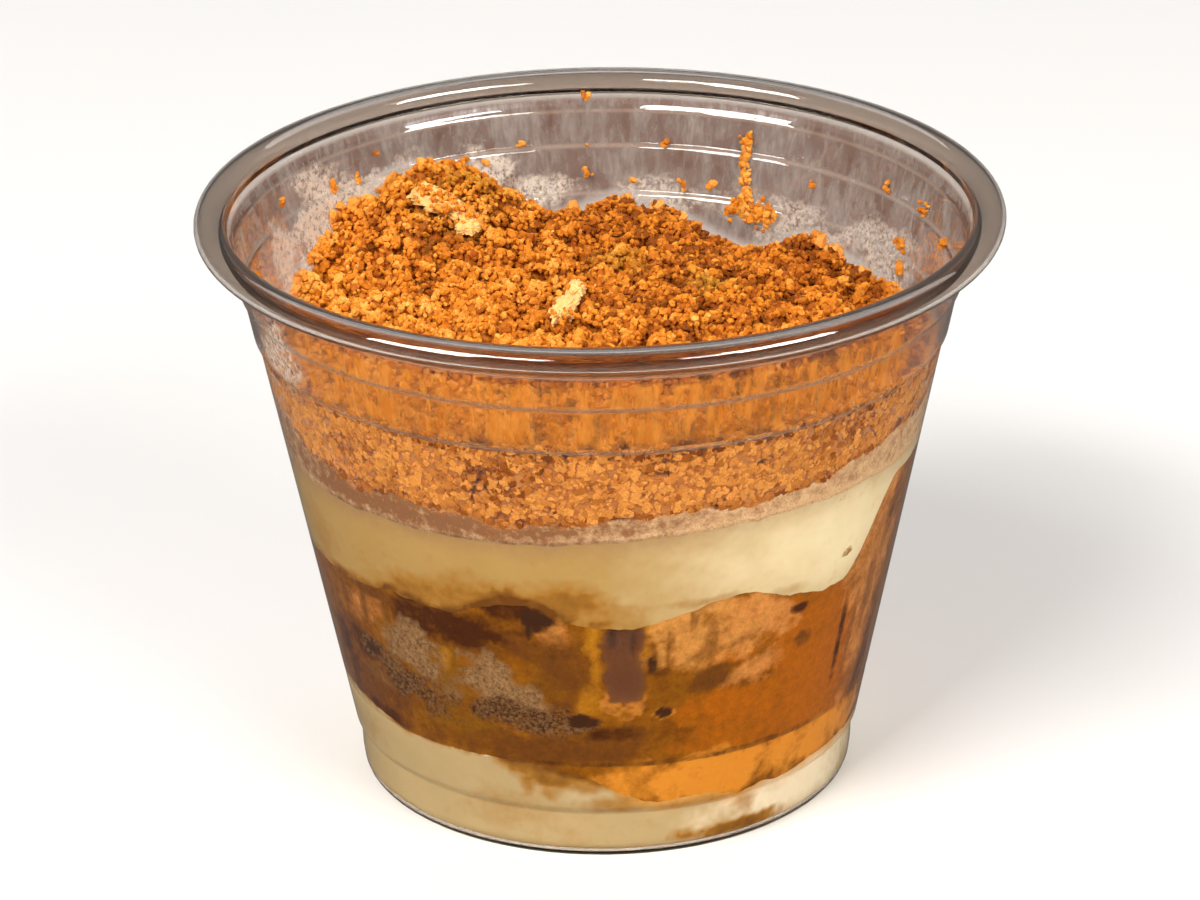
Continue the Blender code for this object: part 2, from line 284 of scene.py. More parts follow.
MARK_EDGE = (0.08, 0.92)  # a ragged mark's share runs from nothing to all between these
WARM_SUBSURFACE = (1.0, 0.45, 0.15)  # how much further red goes into sponge than green and blue


class Shader:
    """A material's node tree, with short calls for the nodes that the finishes here share."""

    def __init__(self, name):
        self.material = bpy.data.materials.new(name)
        self.material.use_nodes = True
        self.tree = self.material.node_tree
        self.tree.nodes.clear()
        self.output = self.tree.nodes.new("ShaderNodeOutputMaterial")

    def node(self, kind, **settings):
        made = self.tree.nodes.new(kind)
        for key, value in settings.items():
            setattr(made, key, value)
        return made

    def join(self, source, target):
        self.tree.links.new(source, target)

    def set(self, socket, value):
        """Links a socket, or sets its own value. A colour without alpha is given one."""
        if isinstance(value, bpy.types.NodeSocket):
            self.join(value, socket)
        elif hasattr(value, "__len__") and len(value) < len(socket.default_value):
            socket.default_value = (*value, 1.0)
        else:
            socket.default_value = value

    def attribute(self, name):
        return self.node("ShaderNodeAttribute", attribute_name=name).outputs["Fac"]

    def noise(self, size, detail=3.0, roughness=0.55, stretch=(1, 1, 1)):
        """Noise with lumps of this size on Object coordinates, drawn out where stretch is under 1."""
        mapping = self.node("ShaderNodeMapping")
        mapping.inputs["Scale"].default_value = stretch
        self.join(self.node("ShaderNodeTexCoord").outputs["Object"], mapping.inputs["Vector"])
        made = self.node("ShaderNodeTexNoise")
        self.join(mapping.outputs["Vector"], made.inputs["Vector"])
        made.inputs["Scale"].default_value = 1.0 / size
        made.inputs["Detail"].default_value = detail
        made.inputs["Roughness"].default_value = roughness
        return made.outputs["Fac"]

    def remap(self, value, low, high, to_low=0.0, to_high=1.0):
        made = self.node("ShaderNodeMapRange", clamp=True)
        self.set(made.inputs["Value"], value)
        for name, number in zip(("From Min", "From Max", "To Min", "To Max"), (low, high, to_low, to_high)):
            made.inputs[name].default_value = number
        return made.outputs["Result"]

    def maths(self, operation, first, second):
        made = self.node("ShaderNodeMath", operation=operation)
        self.set(made.inputs[0], first)
        self.set(made.inputs[1], second)
        return made.outputs[0]

    def plus(self, first, second):
        return self.maths("ADD", first, second)

    def times(self, first, second):
        return self.maths("MULTIPLY", first, second)

    def most(self, first, *others):
        """The greatest of the values."""
        for other in others:
            first = self.maths("MAXIMUM", first, other)
        return first

    def mix(self, share, first, second, blend="MIX"):
        made = self.node("ShaderNodeMix", data_type="RGBA", blend_type=blend)
        self.set(made.inputs[0], share)
        self.set(made.inputs[6], first)
        self.set(made.inputs[7], second)
        return made.outputs[2]

    def mark(self, name, ragged, low, high):
        """A mark's share with its edge made ragged, and nothing away from the mark."""
        given = self.attribute(name)
        return self.times(self.remap(self.plus(given, ragged), low, high), self.remap(given, 0.02, 0.3))

    def bump(self, height, depth, strength):
        made = self.node("ShaderNodeBump")
        made.inputs["Strength"].default_value = strength
        made.inputs["Distance"].default_value = depth
        self.join(height, made.inputs["Height"])
        return made.outputs["Normal"]

    def principled(self, **inputs):
        made = self.node("ShaderNodeBsdfPrincipled")
        for name, value in inputs.items():
            self.set(made.inputs[name.replace("_", " ")], value)
        return made.outputs[0]

    def passing(self):
        """A shader that lets all light straight through."""
        return self.node("ShaderNodeBsdfTransparent").outputs[0]

    def fade(self, share, first, second):
        """The first shader fading into the second."""
        made = self.node("ShaderNodeMixShader")
        self.join(share, made.inputs[0])
        self.join(first, made.inputs[1])
        self.join(second, made.inputs[2])
        return made.outputs[0]

    def show(self, shader):
        self.join(shader, self.output.inputs["Surface"])
        return self.material


def clear_plastic(settings):
    """Clear plastic with a faint smoky tint. Light for what is behind it goes straight through."""
    s = Shader("clear plastic")
    plastic = s.principled(
        Base_Color=settings.tint, Roughness=settings.roughness, IOR=settings.ior, Transmission_Weight=1.0
    )
    path = s.node("ShaderNodeLightPath")
    lighting = s.most(path.outputs["Is Shadow Ray"], path.outputs["Is Diffuse Ray"])
    return s.show(s.fade(lighting, plastic, s.passing()))


def cream_material(settings, name, colour, pale_and_lit_colour, dust_colour):
    """Whipped cream against the plastic: smooth and moist, faintly mottled, with coffee that has bled in."""
    s = Shader(name)
    mottle = s.remap(s.noise(6 * MM, 4), 0.35, 0.65)
    shade = s.mix(mottle, (1.0, 1.0, 1.0), (0.94, 0.93, 0.90))
    # The pale colour is painted light on the cream layers: their lit right side, and a painted highlight
    # line. On the flakes it is fresh cream.
    body = s.mix(s.attribute("pale"), colour, pale_and_lit_colour)
    body = s.mix(1.0, body, shade, "MULTIPLY")
    uneven = s.remap(s.noise(2.2 * MM, 5, 0.6), 0.25, 0.75, -0.16, 0.16)
    soaked = s.plus(s.attribute("stain"), uneven)
    body = s.mix(s.remap(soaked, 0.06, 0.60), body, settings.stain_colour)
    body = s.mix(s.remap(soaked, 0.55, 1.0), body, settings.deep_stain_colour)
    scattered = s.remap(s.noise(0.9 * MM, 6, 0.8), 0.3, 0.7, -0.35, 0.35)
    dusty = s.times(s.attribute("dust"), s.plus(scattered, 0.85))
    body = s.mix(dusty, body, dust_colour)
    specks = s.remap(s.plus(s.attribute("speck"), scattered), 0.4, 0.75)
    body = s.mix(specks, body, settings.speck_colour)
    shader = s.principled(
        Base_Color=body,
        Roughness=0.5,
        Specular_IOR_Level=settings.gloss,
        Subsurface_Weight=settings.subsurface,
        Subsurface_Radius=(1.0, 0.6, 0.3),
        Subsurface_Scale=1.2 * MM,
        Normal=s.bump(s.noise(0.5 * MM, 3), 0.05 * MM, 0.5),
    )
    return s.show(shader)


def biscuit_material(settings):
    """Soaked sponge: wet brown to orange, dry grey-beige cores with a speckled underside, and dark pits."""
    s = Shader("soaked biscuit")
    cloud = s.remap(s.noise(2.6 * MM, 6, 0.68), 0.34, 0.66)
    body = s.mix(cloud, settings.soaked_colour, settings.wet_colour)
    ragged = s.remap(s.noise(2.4 * MM, 7, 0.68), 0.30, 0.70, -0.42, 0.42)
    for name in ("orange", "golden", "caramel", "pink", "tan", "brown", "ochre", "dark", "rim"):
        body = s.mix(s.mark(name, ragged, *MARK_EDGE), body, getattr(settings, name + "_colour"))
    fibres = s.remap(s.noise(0.9 * MM, 7, 0.8), 0.34, 0.64, 0.68, 1.24)
    body = s.mix(s.attribute("grain"), body, s.mix(1.0, body, fibres, "MULTIPLY"))
    dry_grain = s.remap(s.noise(0.6 * MM, 7, 0.8), 0.40, 0.60)
    dry_tone = s.mix(dry_grain, settings.dry_colour, settings.dry_shade_colour)
    body = s.mix(s.mark("dry", ragged, 0.08, 0.85), body, dry_tone)
    specks = s.remap(s.noise(0.48 * MM, 5, 0.75), 0.40, 0.58)
    crust = s.mix(specks, settings.crust_colour, settings.pit_colour)
    body = s.mix(s.mark("speckle", ragged, 0.08, 0.9), body, crust)
    hollow = s.mix(cloud, settings.pocket_colour, settings.brown_colour)
    hollow = s.mix(s.remap(s.attribute("dark"), 0.3, 0.9), hollow, settings.dark_colour)
    body = s.mix(s.attribute("pocket"), body, hollow)
    # Painted shade: the pits are drawn near black.
    body = s.mix(s.mark("pit", ragged, 0.15, 0.8), body, settings.pit_colour)
    height = s.plus(s.noise(0.7 * MM, 5, 0.6), s.times(s.noise(0.25 * MM, 3), 0.5))
    shader = s.principled(
        Base_Color=body,
        Roughness=0.6,
        Specular_IOR_Level=0.03,
        Subsurface_Weight=0.1,
        Subsurface_Radius=WARM_SUBSURFACE,
        Subsurface_Scale=0.5 * MM,
        Normal=s.bump(height, 0.16 * MM, 0.8),
    )
    return s.show(shader)


def crumb_material(settings, name="biscuit crumbs"):
    """Dry crumbs, each in its own tone, with a rough grain. The tone also carries painted shade in hollows
    and on the heap's far side.
    """
    s = Shader(name)
    tone = s.attribute("tone")
    ramp = s.node("ShaderNodeValToRGB")
    ramp.color_ramp.elements[0].color = (*settings.deep_colour, 1.0)
    ramp.color_ramp.elements[1].color = (*settings.light_colour, 1.0)
    middle = ramp.color_ramp.elements.new(0.5)
    middle.color = (*settings.colour, 1.0)
    wander = s.remap(s.noise(4 * MM, 4), 0.3, 0.7, -0.26, 0.22)
    s.join(s.plus(tone, wander), ramp.inputs[0])
    # The lowest tones, painted shade in hollows, take the gap colour.
    crumb = s.mix(s.remap(tone, 0.0, 0.12), settings.shaded_gap_colour, ramp.outputs[0])
    pressed = s.mix(s.remap(tone, 0.12, 0.8), settings.deep_tan_colour, settings.tan_colour)
    crumb = s.mix(s.attribute("tan"), crumb, pressed)
    body = s.mix(s.attribute("olive"), crumb, settings.olive_colour)
    ragged = s.remap(s.noise(1.2 * MM, 5, 0.7), 0.3, 0.7, -0.45, 0.45)
    streaky = s.remap(s.plus(s.attribute("cream"), ragged), 0.1, 0.9)
    powder = s.mix(streaky, settings.dust_colour, settings.cream_colour)
    body = s.mix(s.mark("dust", ragged, 0.25, 0.75), body, powder)
    grain = s.noise(0.25 * MM, 3, 0.6)
    body = s.mix(s.remap(grain, 0.42, 0.66, 0.0, 0.4), body, settings.deep_colour)
    shader = s.principled(
        Base_Color=body,
        Roughness=0.6,
        Specular_IOR_Level=settings.gloss,
        Subsurface_Weight=settings.subsurface,
        Subsurface_Radius=(1.0, 0.4, 0.12),
        Subsurface_Scale=0.8 * MM,
        Normal=s.bump(grain, 0.12 * MM, 0.8),
    )
    return s.show(shader)


def film_material(settings):
    """Dust and cream smeared on the inside of the wall, with painted shade and painted reflections, as a thin
    see-through film.
    """
    s = Shader("wall film")
    fine = s.remap(s.noise(0.8 * MM, 5, 0.7, (1, 1, 0.22)), 0.36, 0.64, -0.14, 0.14)
    broad = s.remap(s.noise(3.4 * MM, 4, 0.6, (1, 1, 0.45)), 0.34, 0.66, 0.66, 1.0)
    # Painted shade: the haze is a dark streaked film that stands in for the dark room seen through the
    # plastic.
    haze = s.times(s.times(s.attribute("haze"), s.plus(broad, fine)), settings.haze)
    runs = s.remap(s.noise(1.5 * MM, 5, 0.65, (1, 1, 0.14)), 0.40, 0.60, 0.40, 0.95)
    streaked = s.times(s.times(s.attribute("streaked"), runs), settings.streaks)
    frost = s.times(s.attribute("frost"), s.remap(s.noise(0.7 * MM, 6, 0.85), 0.40, 0.54))
    dusty = s.times(s.attribute("dusty"), s.remap(s.noise(0.8 * MM, 5, 0.7), 0.4, 0.62))
    colour = s.mix(s.remap(dusty, 0.05, 0.3), settings.backdrop_shade_colour, settings.dust_colour)
    palest = s.remap(s.noise(1.2 * MM, 5, 0.65, (1, 1, 0.22)), 0.42, 0.58)
    tan = s.mix(palest, settings.dust_colour, settings.streak_colour)
    colour = s.mix(s.remap(streaked, 0.05, 0.3), colour, tan)
    colour = s.mix(s.remap(frost, 0.1, 0.5), colour, settings.frost_colour)
    # Painted reflections: grey-tan lines along the moulded rings and the flange, standing in for the light
    # the rings catch.
    ring = s.times(s.attribute("ring"), settings.rings)
    colour = s.mix(s.remap(ring, 0.1, 0.5), colour, settings.rib_reflection_colour)
    body = s.principled(Base_Color=colour, Roughness=0.6, Specular_IOR_Level=0.05)
    return s.show(s.fade(s.most(haze, frost, streaked, dusty, ring), s.passing(), body))


def floor_material(settings):
    s = Shader("floor")
    shade = s.remap(s.noise(0.12, 2), 0.3, 0.7, 0.985, 1.0)
    tone = s.mix(1.0, settings.floor_colour, shade, "MULTIPLY")
    return s.show(s.principled(Base_Color=tone, Roughness=0.7, Specular_IOR_Level=0.0))


# ==== Settings ====================


def colour_property(name, value, description):
    return FloatVectorProperty(
        name=name, description=description, subtype="COLOR", size=3, min=0, max=1, default=value
    )


def share_property(name, value, description):
    return FloatProperty(name=name, description=description, subtype="FACTOR", min=0, max=1, default=value)


def length_property(name, value, description):
    return FloatProperty(name=name, description=description, unit="LENGTH", min=0, default=value)


def power_property(name, value, description):
    return FloatProperty(name=name, description=description, unit="POWER", min=0, default=value)


def count_property(name, value, description):
    return IntProperty(name=name, description=description, min=0, default=value)


def angle_property(name, degrees, description):
    return FloatProperty(name=name, description=description, subtype="ANGLE", default=math.radians(degrees))


class CupSettings(bpy.types.PropertyGroup):
    steps: IntProperty(name="Turn steps", description="Facets round the cup", default=192, min=48)
    roughness: share_property("Roughness", 0.02, "Blur of the plastic")
    ior: FloatProperty(name="IOR", description="How far the plastic bends light", default=1.45, min=1)
    tint: colour_property("Tint", (0.60, 0.53, 0.475), "What one wall lets through")


class FilmSettings(bpy.types.PropertyGroup):
    depth: length_property("Depth", 0.3 * MM, "How deep in the wall the film lies")
    # Haze: painted shade, a dark streaked film that stands in for the dark room seen through the back wall.
    haze: share_property("Haze cover", 0.86, "How much the greasy haze covers")
    streaks: share_property("Streak cover", 0.66, "How much the streaks of crumb dust cover")
    # Rings and their colour: painted reflections, grey-tan lines along the moulded rings and the flange that
    # stand in for the light they catch.
    rings: share_property("Ring cover", 0.62, "How much the dust in the moulded rings covers")
    rib_reflection_colour: colour_property("Rings", (0.40, 0.28, 0.20), "Dust in the moulded rings")
    # Its colour: the dark of that painted shade.
    backdrop_shade_colour: colour_property("Haze", (0.16, 0.09, 0.066), "Greasy haze inside the wall")
    frost_colour: colour_property("Frost", (0.86, 0.78, 0.66), "Smeared cream inside the wall")
    dust_colour: colour_property("Dust", (0.70, 0.23, 0.02), "Crumb dust inside the wall")
    streak_colour: colour_property("Streak", (0.86, 0.34, 0.05), "The palest streaks of crumb dust")


class CreamSettings(bpy.types.PropertyGroup):
    colour: colour_property("Cream", (0.50, 0.325, 0.105), "The cream above the biscuits")
    # Pale cream: painted light. The cream's right side is drawn paler where the lamp at the front right falls
    # on it.
    pale_and_lit_colour: colour_property("Pale cream", (1.0, 0.88, 0.57), "Where that cream is thickest")
    base_colour: colour_property("Base cream", (0.56, 0.430, 0.215), "The cream at the bottom")
    # Pale base: painted light. The bottom cream's right side is drawn paler where the front-right lamp falls,
    # with a thin painted highlight line.
    base_lit_colour: colour_property("Pale base", (1.0, 0.89, 0.66), "The palest cream at the bottom")
    flake_colour: colour_property("Flake", (0.92, 0.56, 0.21), "Cream flakes on the heap")
    mixed_colour: colour_property("Mixed flake", (0.84, 0.40, 0.09), "Cream mixed with crumbs")
    dust_colour: colour_property("Dust", (0.36, 0.20, 0.10), "Crumb dust in the cream's upper edge")
    syrup_colour: colour_property("Syrup", (0.80, 0.42, 0.10), "Pale coffee syrup in the cream at the bottom")
    stain_colour: colour_property("Stain", (0.40, 0.19, 0.025), "Coffee bled into the cream")
    deep_stain_colour: colour_property("Deep stain", (0.16, 0.055, 0.005), "Coffee where cream meets biscuit")
    speck_colour: colour_property("Speck", (0.36, 0.16, 0.04), "Crumbs and pits in the cream")
    gloss: share_property("Gloss", 0.05, "Shine of the cream where it touches plastic")
    subsurface: share_property("Subsurface", 0.3, "Light that goes through the cream")


class BiscuitSettings(bpy.types.PropertyGroup):
    soaked_colour: colour_property("Soaked", (0.190, 0.058, 0.0), "Sponge soaked with coffee")
    wet_colour: colour_property("Wet", (0.300, 0.105, 0.001), "Wetter, more open sponge")
    orange_colour: colour_property("Orange", (0.430, 0.118, 0.0), "Light-soaked sponge")
    golden_colour: colour_property("Golden", (0.215, 0.084, 0.0005), "Olive-gold soaked sponge")
    ochre_colour: colour_property("Ochre", (0.530, 0.225, 0.008), "Yellow streaks of syrup")
    # Caramel: the syrup-soaked sponge of the bottom band, drawn brighter as painted light, as if lit more
    # brightly below the cup's stacking line.
    caramel_colour: colour_property("Caramel", (0.78, 0.30, 0.028), "Syrup at the bottom")
    pink_colour: colour_property("Pale sponge", (0.69, 0.275, 0.062), "Sponge that took up little coffee")
    tan_colour: colour_property("Tan sponge", (0.64, 0.285, 0.060), "Open, crumbly sponge")
    # Brown: deep-soaked sponge, and painted shade in the crevices of the open sponge.
    brown_colour: colour_property("Brown", (0.150, 0.048, 0.004), "Deep-soaked sponge")
    crust_colour: colour_property("Crust", (0.21, 0.105, 0.036), "The speckled underside between its specks")
    rim_colour: colour_property("Pit rim", (0.62, 0.24, 0.035), "The pale edge round pits")
    dark_colour: colour_property("Dark", (0.068, 0.016, 0.0004), "The darkest soaked bands")
    dry_colour: colour_property("Dry core", (0.36, 0.212, 0.088), "The dry core of a biscuit")
    dry_shade_colour: colour_property("Dry shade", (0.145, 0.066, 0.018), "Shade in the dry core")
    pocket_colour: colour_property("Pocket", (0.15, 0.036, 0.003), "The wall of an air pocket")
    # Pit: painted shade, near black in the pits and in the small pits that speckle the underside's crust.
    pit_colour: colour_property("Pit", (0.050, 0.016, 0.004), "Pits and the speckled underside")


class CrumbSettings(bpy.types.PropertyGroup):
    colour: colour_property("Crumb", (0.74, 0.246, 0.017), "The usual crumb")
    light_colour: colour_property("Light crumb", (0.94, 0.45, 0.088), "The palest crumbs")
    deep_colour: colour_property("Deep crumb", (0.34, 0.075, 0.004), "The darkest crumbs")
    tan_colour: colour_property("Pressed crumb", (0.92, 0.385, 0.085), "Crumbs pressed on the wall")
    deep_tan_colour: colour_property("Deep pressed crumb", (0.25, 0.064, 0.005), "The darkest of them")
    # Gap: painted shade, the darkest crumbs deep in the heap's hollows and in the hollows at the wall.
    shaded_gap_colour: colour_property("Gap", (0.20, 0.048, 0.003), "The heap between the lumps")
    gloss: share_property("Gloss", 0.06, "Shine of the crumbs")
    dust_colour: colour_property("Dust", (0.27, 0.135, 0.06), "Fine dust under the crumbs")
    cream_colour: colour_property("Cream", (0.82, 0.56, 0.30), "Cream mixed into the crumbs")
    olive_colour: colour_property("Olive", (0.42, 0.22, 0.02), "Crumbs that took up syrup")
    subsurface: share_property("Subsurface", 0.12, "Light that goes through the crumbs")
    radius: length_property("Crumb radius", 0.36 * MM, "Mean radius of a crumb")
    lump_spacing: length_property("Lump spacing", 2.5 * MM, "Distance of the lumps")
    top_count: count_property("Top crumbs", 29400, "Crumbs on the heap")
    wall_count: count_property("Wall crumbs", 10000, "Crumbs pressed on the wall")


class StageSettings(bpy.types.PropertyGroup):
    floor_colour: colour_property("Floor", (0.78, 0.77, 0.76), "The pale floor")
    world_colour: colour_property("World", (1.0, 0.97, 0.94), "The room's soft light")
    world_strength: share_property("World strength", 0.14, "How bright the room is")
    right_power: power_property("Right lamp", 5.2, "Low soft lamp at the front right")
    left_power: power_property("Left lamp", 10.0, "High soft lamp at the front left")
    top_power: power_property("Top lamp", 8.0, "Soft lamp over the back")
    glint_power: power_property("Glints", 15.0, "Strip lamps that only glossy faces mirror")
    camera_target: length_property("Target height", 42.144 * MM, "Height that the camera looks at")
    camera_distance: length_property("Distance", 634.96 * MM, "Camera to the cup's middle")
    camera_elevation: angle_property("Elevation", 23.245, "Camera above the horizon")
    camera_roll: angle_property("Roll", 0.776, "Turn of the camera about its view")
    camera_lens: FloatProperty(name="Lens", description="Focal length", default=165.3, unit="CAMERA")


# ==== Cup ====================

ROW_STEP = 2.2 * MM  # between plain rows of the wall; the fine rows follow the steps and rings
CORNER_TURN = 15  # degrees between the rows of the base's corner
CURL_TURN = 12  # degrees between the rows of the curl
CURL_START, CURL_END = 188, -151  # degrees round the curl, from the flange to its free edge
CURL_THINNING = ((0.10 * MM, 0.25 * MM, 0.62 * MM), (0.45 * MM, 0.75 * MM, 0.55 * MM))
SMOOTH_ANGLE = math.radians(50)


def cup_centreline():
    """The plastic sheet's middle line from the base's middle to the end of the curl.

    Each point is a radius, a height and the sheet's thickness there.
    """
    line = [(0.0, FLOOR / 2, FLOOR), (BASE_RADIUS - 2 * BASE_CORNER, FLOOR / 2, FLOOR)]
    middle = BASE_CORNER - WALL / 2
    for degrees in range(-90, 1, CORNER_TURN):
        angle = math.radians(degrees)
        centre = BASE_RADIUS - BASE_CORNER
        line.append((centre + middle * math.cos(angle), WALL / 2 + middle * (1 + math.sin(angle)), WALL))
    fine = [FOOT_HEIGHT + FOOT_STEP_HEIGHT * (i / 6 - 0.25) for i in range(10)]
    fine += [LINE_HEIGHT + 0.16 * MM * i for i in range(-4, 5)]
    for rib in RIB_HEIGHTS:
        fine += [rib + 0.12 * MM * i for i in range(-5, 6)]
    plain = np.arange(2.4 * MM, FLANGE_HEIGHT - 0.3 * MM, ROW_STEP)
    coarse = [float(z) for z in plain if min(abs(z - f) for f in fine) > 0.5 * MM]
    for z in sorted(coarse + fine):
        dent = LINE_DEPTH * math.exp(-(((z - LINE_HEIGHT) / LINE_HALF) ** 2))
        line.append((float(wall_radius(z)) - WALL / 2 - dent, z, WALL))
    start_r = float(wall_radius(FLANGE_HEIGHT)) - WALL / 2
    line.append((start_r, FLANGE_HEIGHT, WALL))
    for out, up, thickness in CURL_THINNING:
        line.append((start_r + out, FLANGE_HEIGHT + up, thickness))
    centre_r, centre_z = RIM_RADIUS - CURL_WIDTH / 2, RIM_TOP - CURL_HEIGHT / 2
    half_r, half_z = (CURL_WIDTH - CURL_SHEET) / 2, (CURL_HEIGHT - CURL_SHEET) / 2
    for degrees in range(CURL_START, CURL_END, -CURL_TURN):
        angle = math.radians(degrees)
        line.append((centre_r + half_r * math.cos(angle), centre_z + half_z * math.sin(angle), CURL_SHEET))
    return line


def cup_profile():
    """The sheet's inner face, from the floor's middle to the curl's end, and its outer face back again."""
    line = np.array(cup_centreline())
    along = np.gradient(line[:, :2], axis=0)
    along /= np.linalg.norm(along, axis=1)[:, None]
    normal = np.stack([-along[:, 1], along[:, 0]], axis=1)
    inner = line[:, :2] + normal * line[:, 2:] / 2
    outer = line[:, :2] - normal * line[:, 2:] / 2
    inner[0, 0] = outer[0, 0] = 0.0
    return [tuple(p) for p in inner] + [tuple(p) for p in outer[::-1]]


class TIRAMISU_OT_cup(bpy.types.Operator):
    """Turn the clear cup with its foot band, ribs and curled rim"""

    bl_idname = "tiramisu.cup"
    bl_label = "Cup"

    def execute(self, context):
        settings = context.scene.tiramisu_cup
        cup = spun("cup_clear", cup_profile(), settings.steps)
        bpy.ops.object.shade_smooth_by_angle(angle=SMOOTH_ANGLE)
        finish_piece(cup, clear_plastic(settings), "clear_plastic", "cup")
        return {"FINISHED"}


# ==== Layers ====================

AZIMUTH_STEPS = 420
TUCK = 0.25 * MM  # how far each layer runs down behind the one below it
SETTLE_ROUNDS = 4  # a point's radius and height depend on each other, and both settle in this many
BLEND_SHARE = 0.06  # of a layer's height, over which its relief fades at both edges
RELIEF_FROM = 0.93  # share of the radius past which a layer's points take part in its relief
BOTTOM_INSET = 0.05 * MM  # so that a layer's tucked edge stays behind the face of the one below


def layer_blank(name, rows, rings, under=4):
    """A turned blank of radius 1 and height 1 whose rows and rings are later moved to a layer's faces."""
    top = [(r, 1.0) for r in np.linspace(0, 1, rings + 1)]
    side = [(1.0, 1 - i / rows) for i in range(1, rows)]
    bottom = [(r, 0.0) for r in np.linspace(1, 0, under + 1)]
    return spun(name, top + side + bottom, AZIMUTH_STEPS)


def shape_layer(blank, floor, roof, relief=None):
    """Moves the blank's points to between floor and roof, out to just inside the plastic."""
    unit = coordinates(blank.data)
    share_r = np.hypot(unit[:, 0], unit[:, 1])
    share_z = unit[:, 2]
    direction = unit[:, :2] / np.maximum(share_r, 1e-9)[:, None]
    radius = share_r * inner_radius(30 * MM)
    for _ in range(SETTLE_ROUNDS):
        x, y = direction[:, 0] * radius, direction[:, 1] * radius
        low, high = floor(x, y), roof(x, y)
        z = low + share_z * (high - low)
        radius = share_r * (inner_radius(z) + INTO_WALL)
    if relief is not None:
        stands_back = relief(Wall(x, y, z))
        for from_edge in (share_z, 1 - share_z):
            stands_back = stands_back * smooth_step(from_edge, 0.0, BLEND_SHARE)
        radius = radius - smooth_step(share_r, RELIEF_FROM, 1.0) * stands_back
    lowest = share_z < 1e-6
    radius = radius - np.where(lowest, BOTTOM_INSET * share_r, 0.0)
    z = z - np.where(lowest, TUCK, 0.0)
    x, y = direction[:, 0] * radius, direction[:, 1] * radius
    set_coordinates(blank.data, np.stack([x, y, z], axis=1))
    return x, y, z


RAGGED_SEEDS = (3.3, 8.1, 12.7)
BROAD_WAVES = (0.16, 0.38)  # noise lumps for each degree round the wall and each millimetre up it
FINE_WAVES = (0.65, 1.3)
FINE_SHARE = 0.55
RIM_PLACE, RIM_HALF = 1.22, 0.22  # of the pale ring round a pit, in pit sizes


def wall_noise(turn, height, waves, seed):
    """Noise at each place on the wall."""
    return np.array([noise.noise((a * waves[0], b * waves[1], seed)) for a, b in zip(turn, height)])


class Wall:
    """Points on the wall as degrees round it and millimetres up it, for marks with uneven outlines.

    The side that faces away carries the same marks in mirror image.
    """

    def __init__(self, x, y, z):
        self.turn = azimuth(x, y)
        self.front = np.abs(self.turn) < 90
        self.az = mirrored(self.turn)
        self.z = z / MM
        self.ragged = []
        for seed in RAGGED_SEEDS:
            broad = wall_noise(self.turn, self.z, BROAD_WAVES, seed)
            self.ragged.append(broad + FINE_SHARE * wall_noise(self.turn, self.z, FINE_WAVES, seed))

    def away(self, az, z, half_az, half_z, tilt, wobble, kind):
        """How far each point is from an uneven oval's middle, with 1 on its edge."""
        across = self.az - az
        return np.hypot(across / half_az, (self.z - z - tilt * across) / half_z) + wobble * self.ragged[kind]

    def spot(self, az, z, half_az, half_z, share=1.0, soft=0.6, tilt=0.0, wobble=0.45, kind=0):
        """The share inside an uneven oval, falling to 0 over its soft edge."""
        distance = self.away(az, z, half_az, half_z, tilt, wobble, kind)
        return share * (1.0 - smooth_step(distance, 1.0 - soft / 2, 1.0 + soft / 2))

    def rim(self, az, z, half_az, half_z, _share, _soft, tilt, wobble):
        """1 on a thin ring round an uneven oval on the near side."""
        distance = self.away(az, z, half_az, half_z, tilt, wobble, 0)
        return (1 - np.clip(np.abs(distance - RIM_PLACE) / RIM_HALF, 0, 1)) * self.front

    def marks(self, spots, front_only=False):
        """The greatest share of any spot. Each in turn has one of three ragged outlines."""
        total = np.zeros(len(self.z))
        for index, settings in enumerate(spots):
            total = np.maximum(total, self.spot(*settings, kind=index % 3))
        return np.clip(total, 0, 1) * (self.front if front_only else 1)


# Marks on the wall: degrees round it, height (mm), half width (degrees), half height (mm), share, softness,
# tilt (mm up for each degree) and how uneven the outline is. The last two can be left out.
BASE_STAINS = (
    (-11, 11.2, 9.5, 1.8, 0.72, 1.2), (-19, 12.0, 5, 1.2, 0.7, 1.0), (-17.5, 9.6, 2.0, 1.6, 0.6, 1.2),
    (-12.5, 8.6, 2.6, 1.2, 0.5, 1.2), (-5, 10.4, 4, 1.6, 0.5, 1.2), (4, 7.4, 9, 1.0, 0.5, 1.2),
    (22, 6.7, 12, 0.9, 0.5, 1.2), (33, 4.6, 3.4, 1.5, 0.42, 1.3), (31, 2.0, 12, 1.0, 0.85, 1.1),
    (-42, 12.9, 9, 0.5, 0.55, 1.2), (-66, 9.5, 9, 2.0, 0.2, 1.5), (-22, 5.8, 13, 2.6, 0.24, 1.5),
    (-8, 3.0, 16, 2.6, 0.10, 1.6),
)
# Painted light on the bottom cream: its right side drawn paler where the lamp at the front right falls, a
# thin painted highlight line at 12.9 mm on the left, and a faint paler spot at the front.
BASE_LIT_MARKS = ((52, 4.8, 24, 3.2, 1.0, 1.3), (-31, 12.9, 5, 0.25, 1.0, 0.6), (-4, 8.5, 5, 1.8, 0.12, 1.2))
CREAM_STAINS = (
    (-30, 33.0, 16, 3.6, 0.60, 1.3), (-19, 34.2, 6, 2.4, 0.95, 1.2), (-9, 34.6, 10, 2.4, 0.72, 1.3),
    (-41, 33.2, 4, 1.6, 0.65, 1.3), (-66, 35.0, 6, 3.6, 0.32, 1.5), (0, 33.4, 8, 1.6, 0.40, 1.3),
    (36, 33.0, 5, 1.0, 0.25, 1.3), (-56, 31.6, 9, 0.9, 0.5, 1.3), (17, 34.2, 8, 0.6, 0.35, 1.3),
)
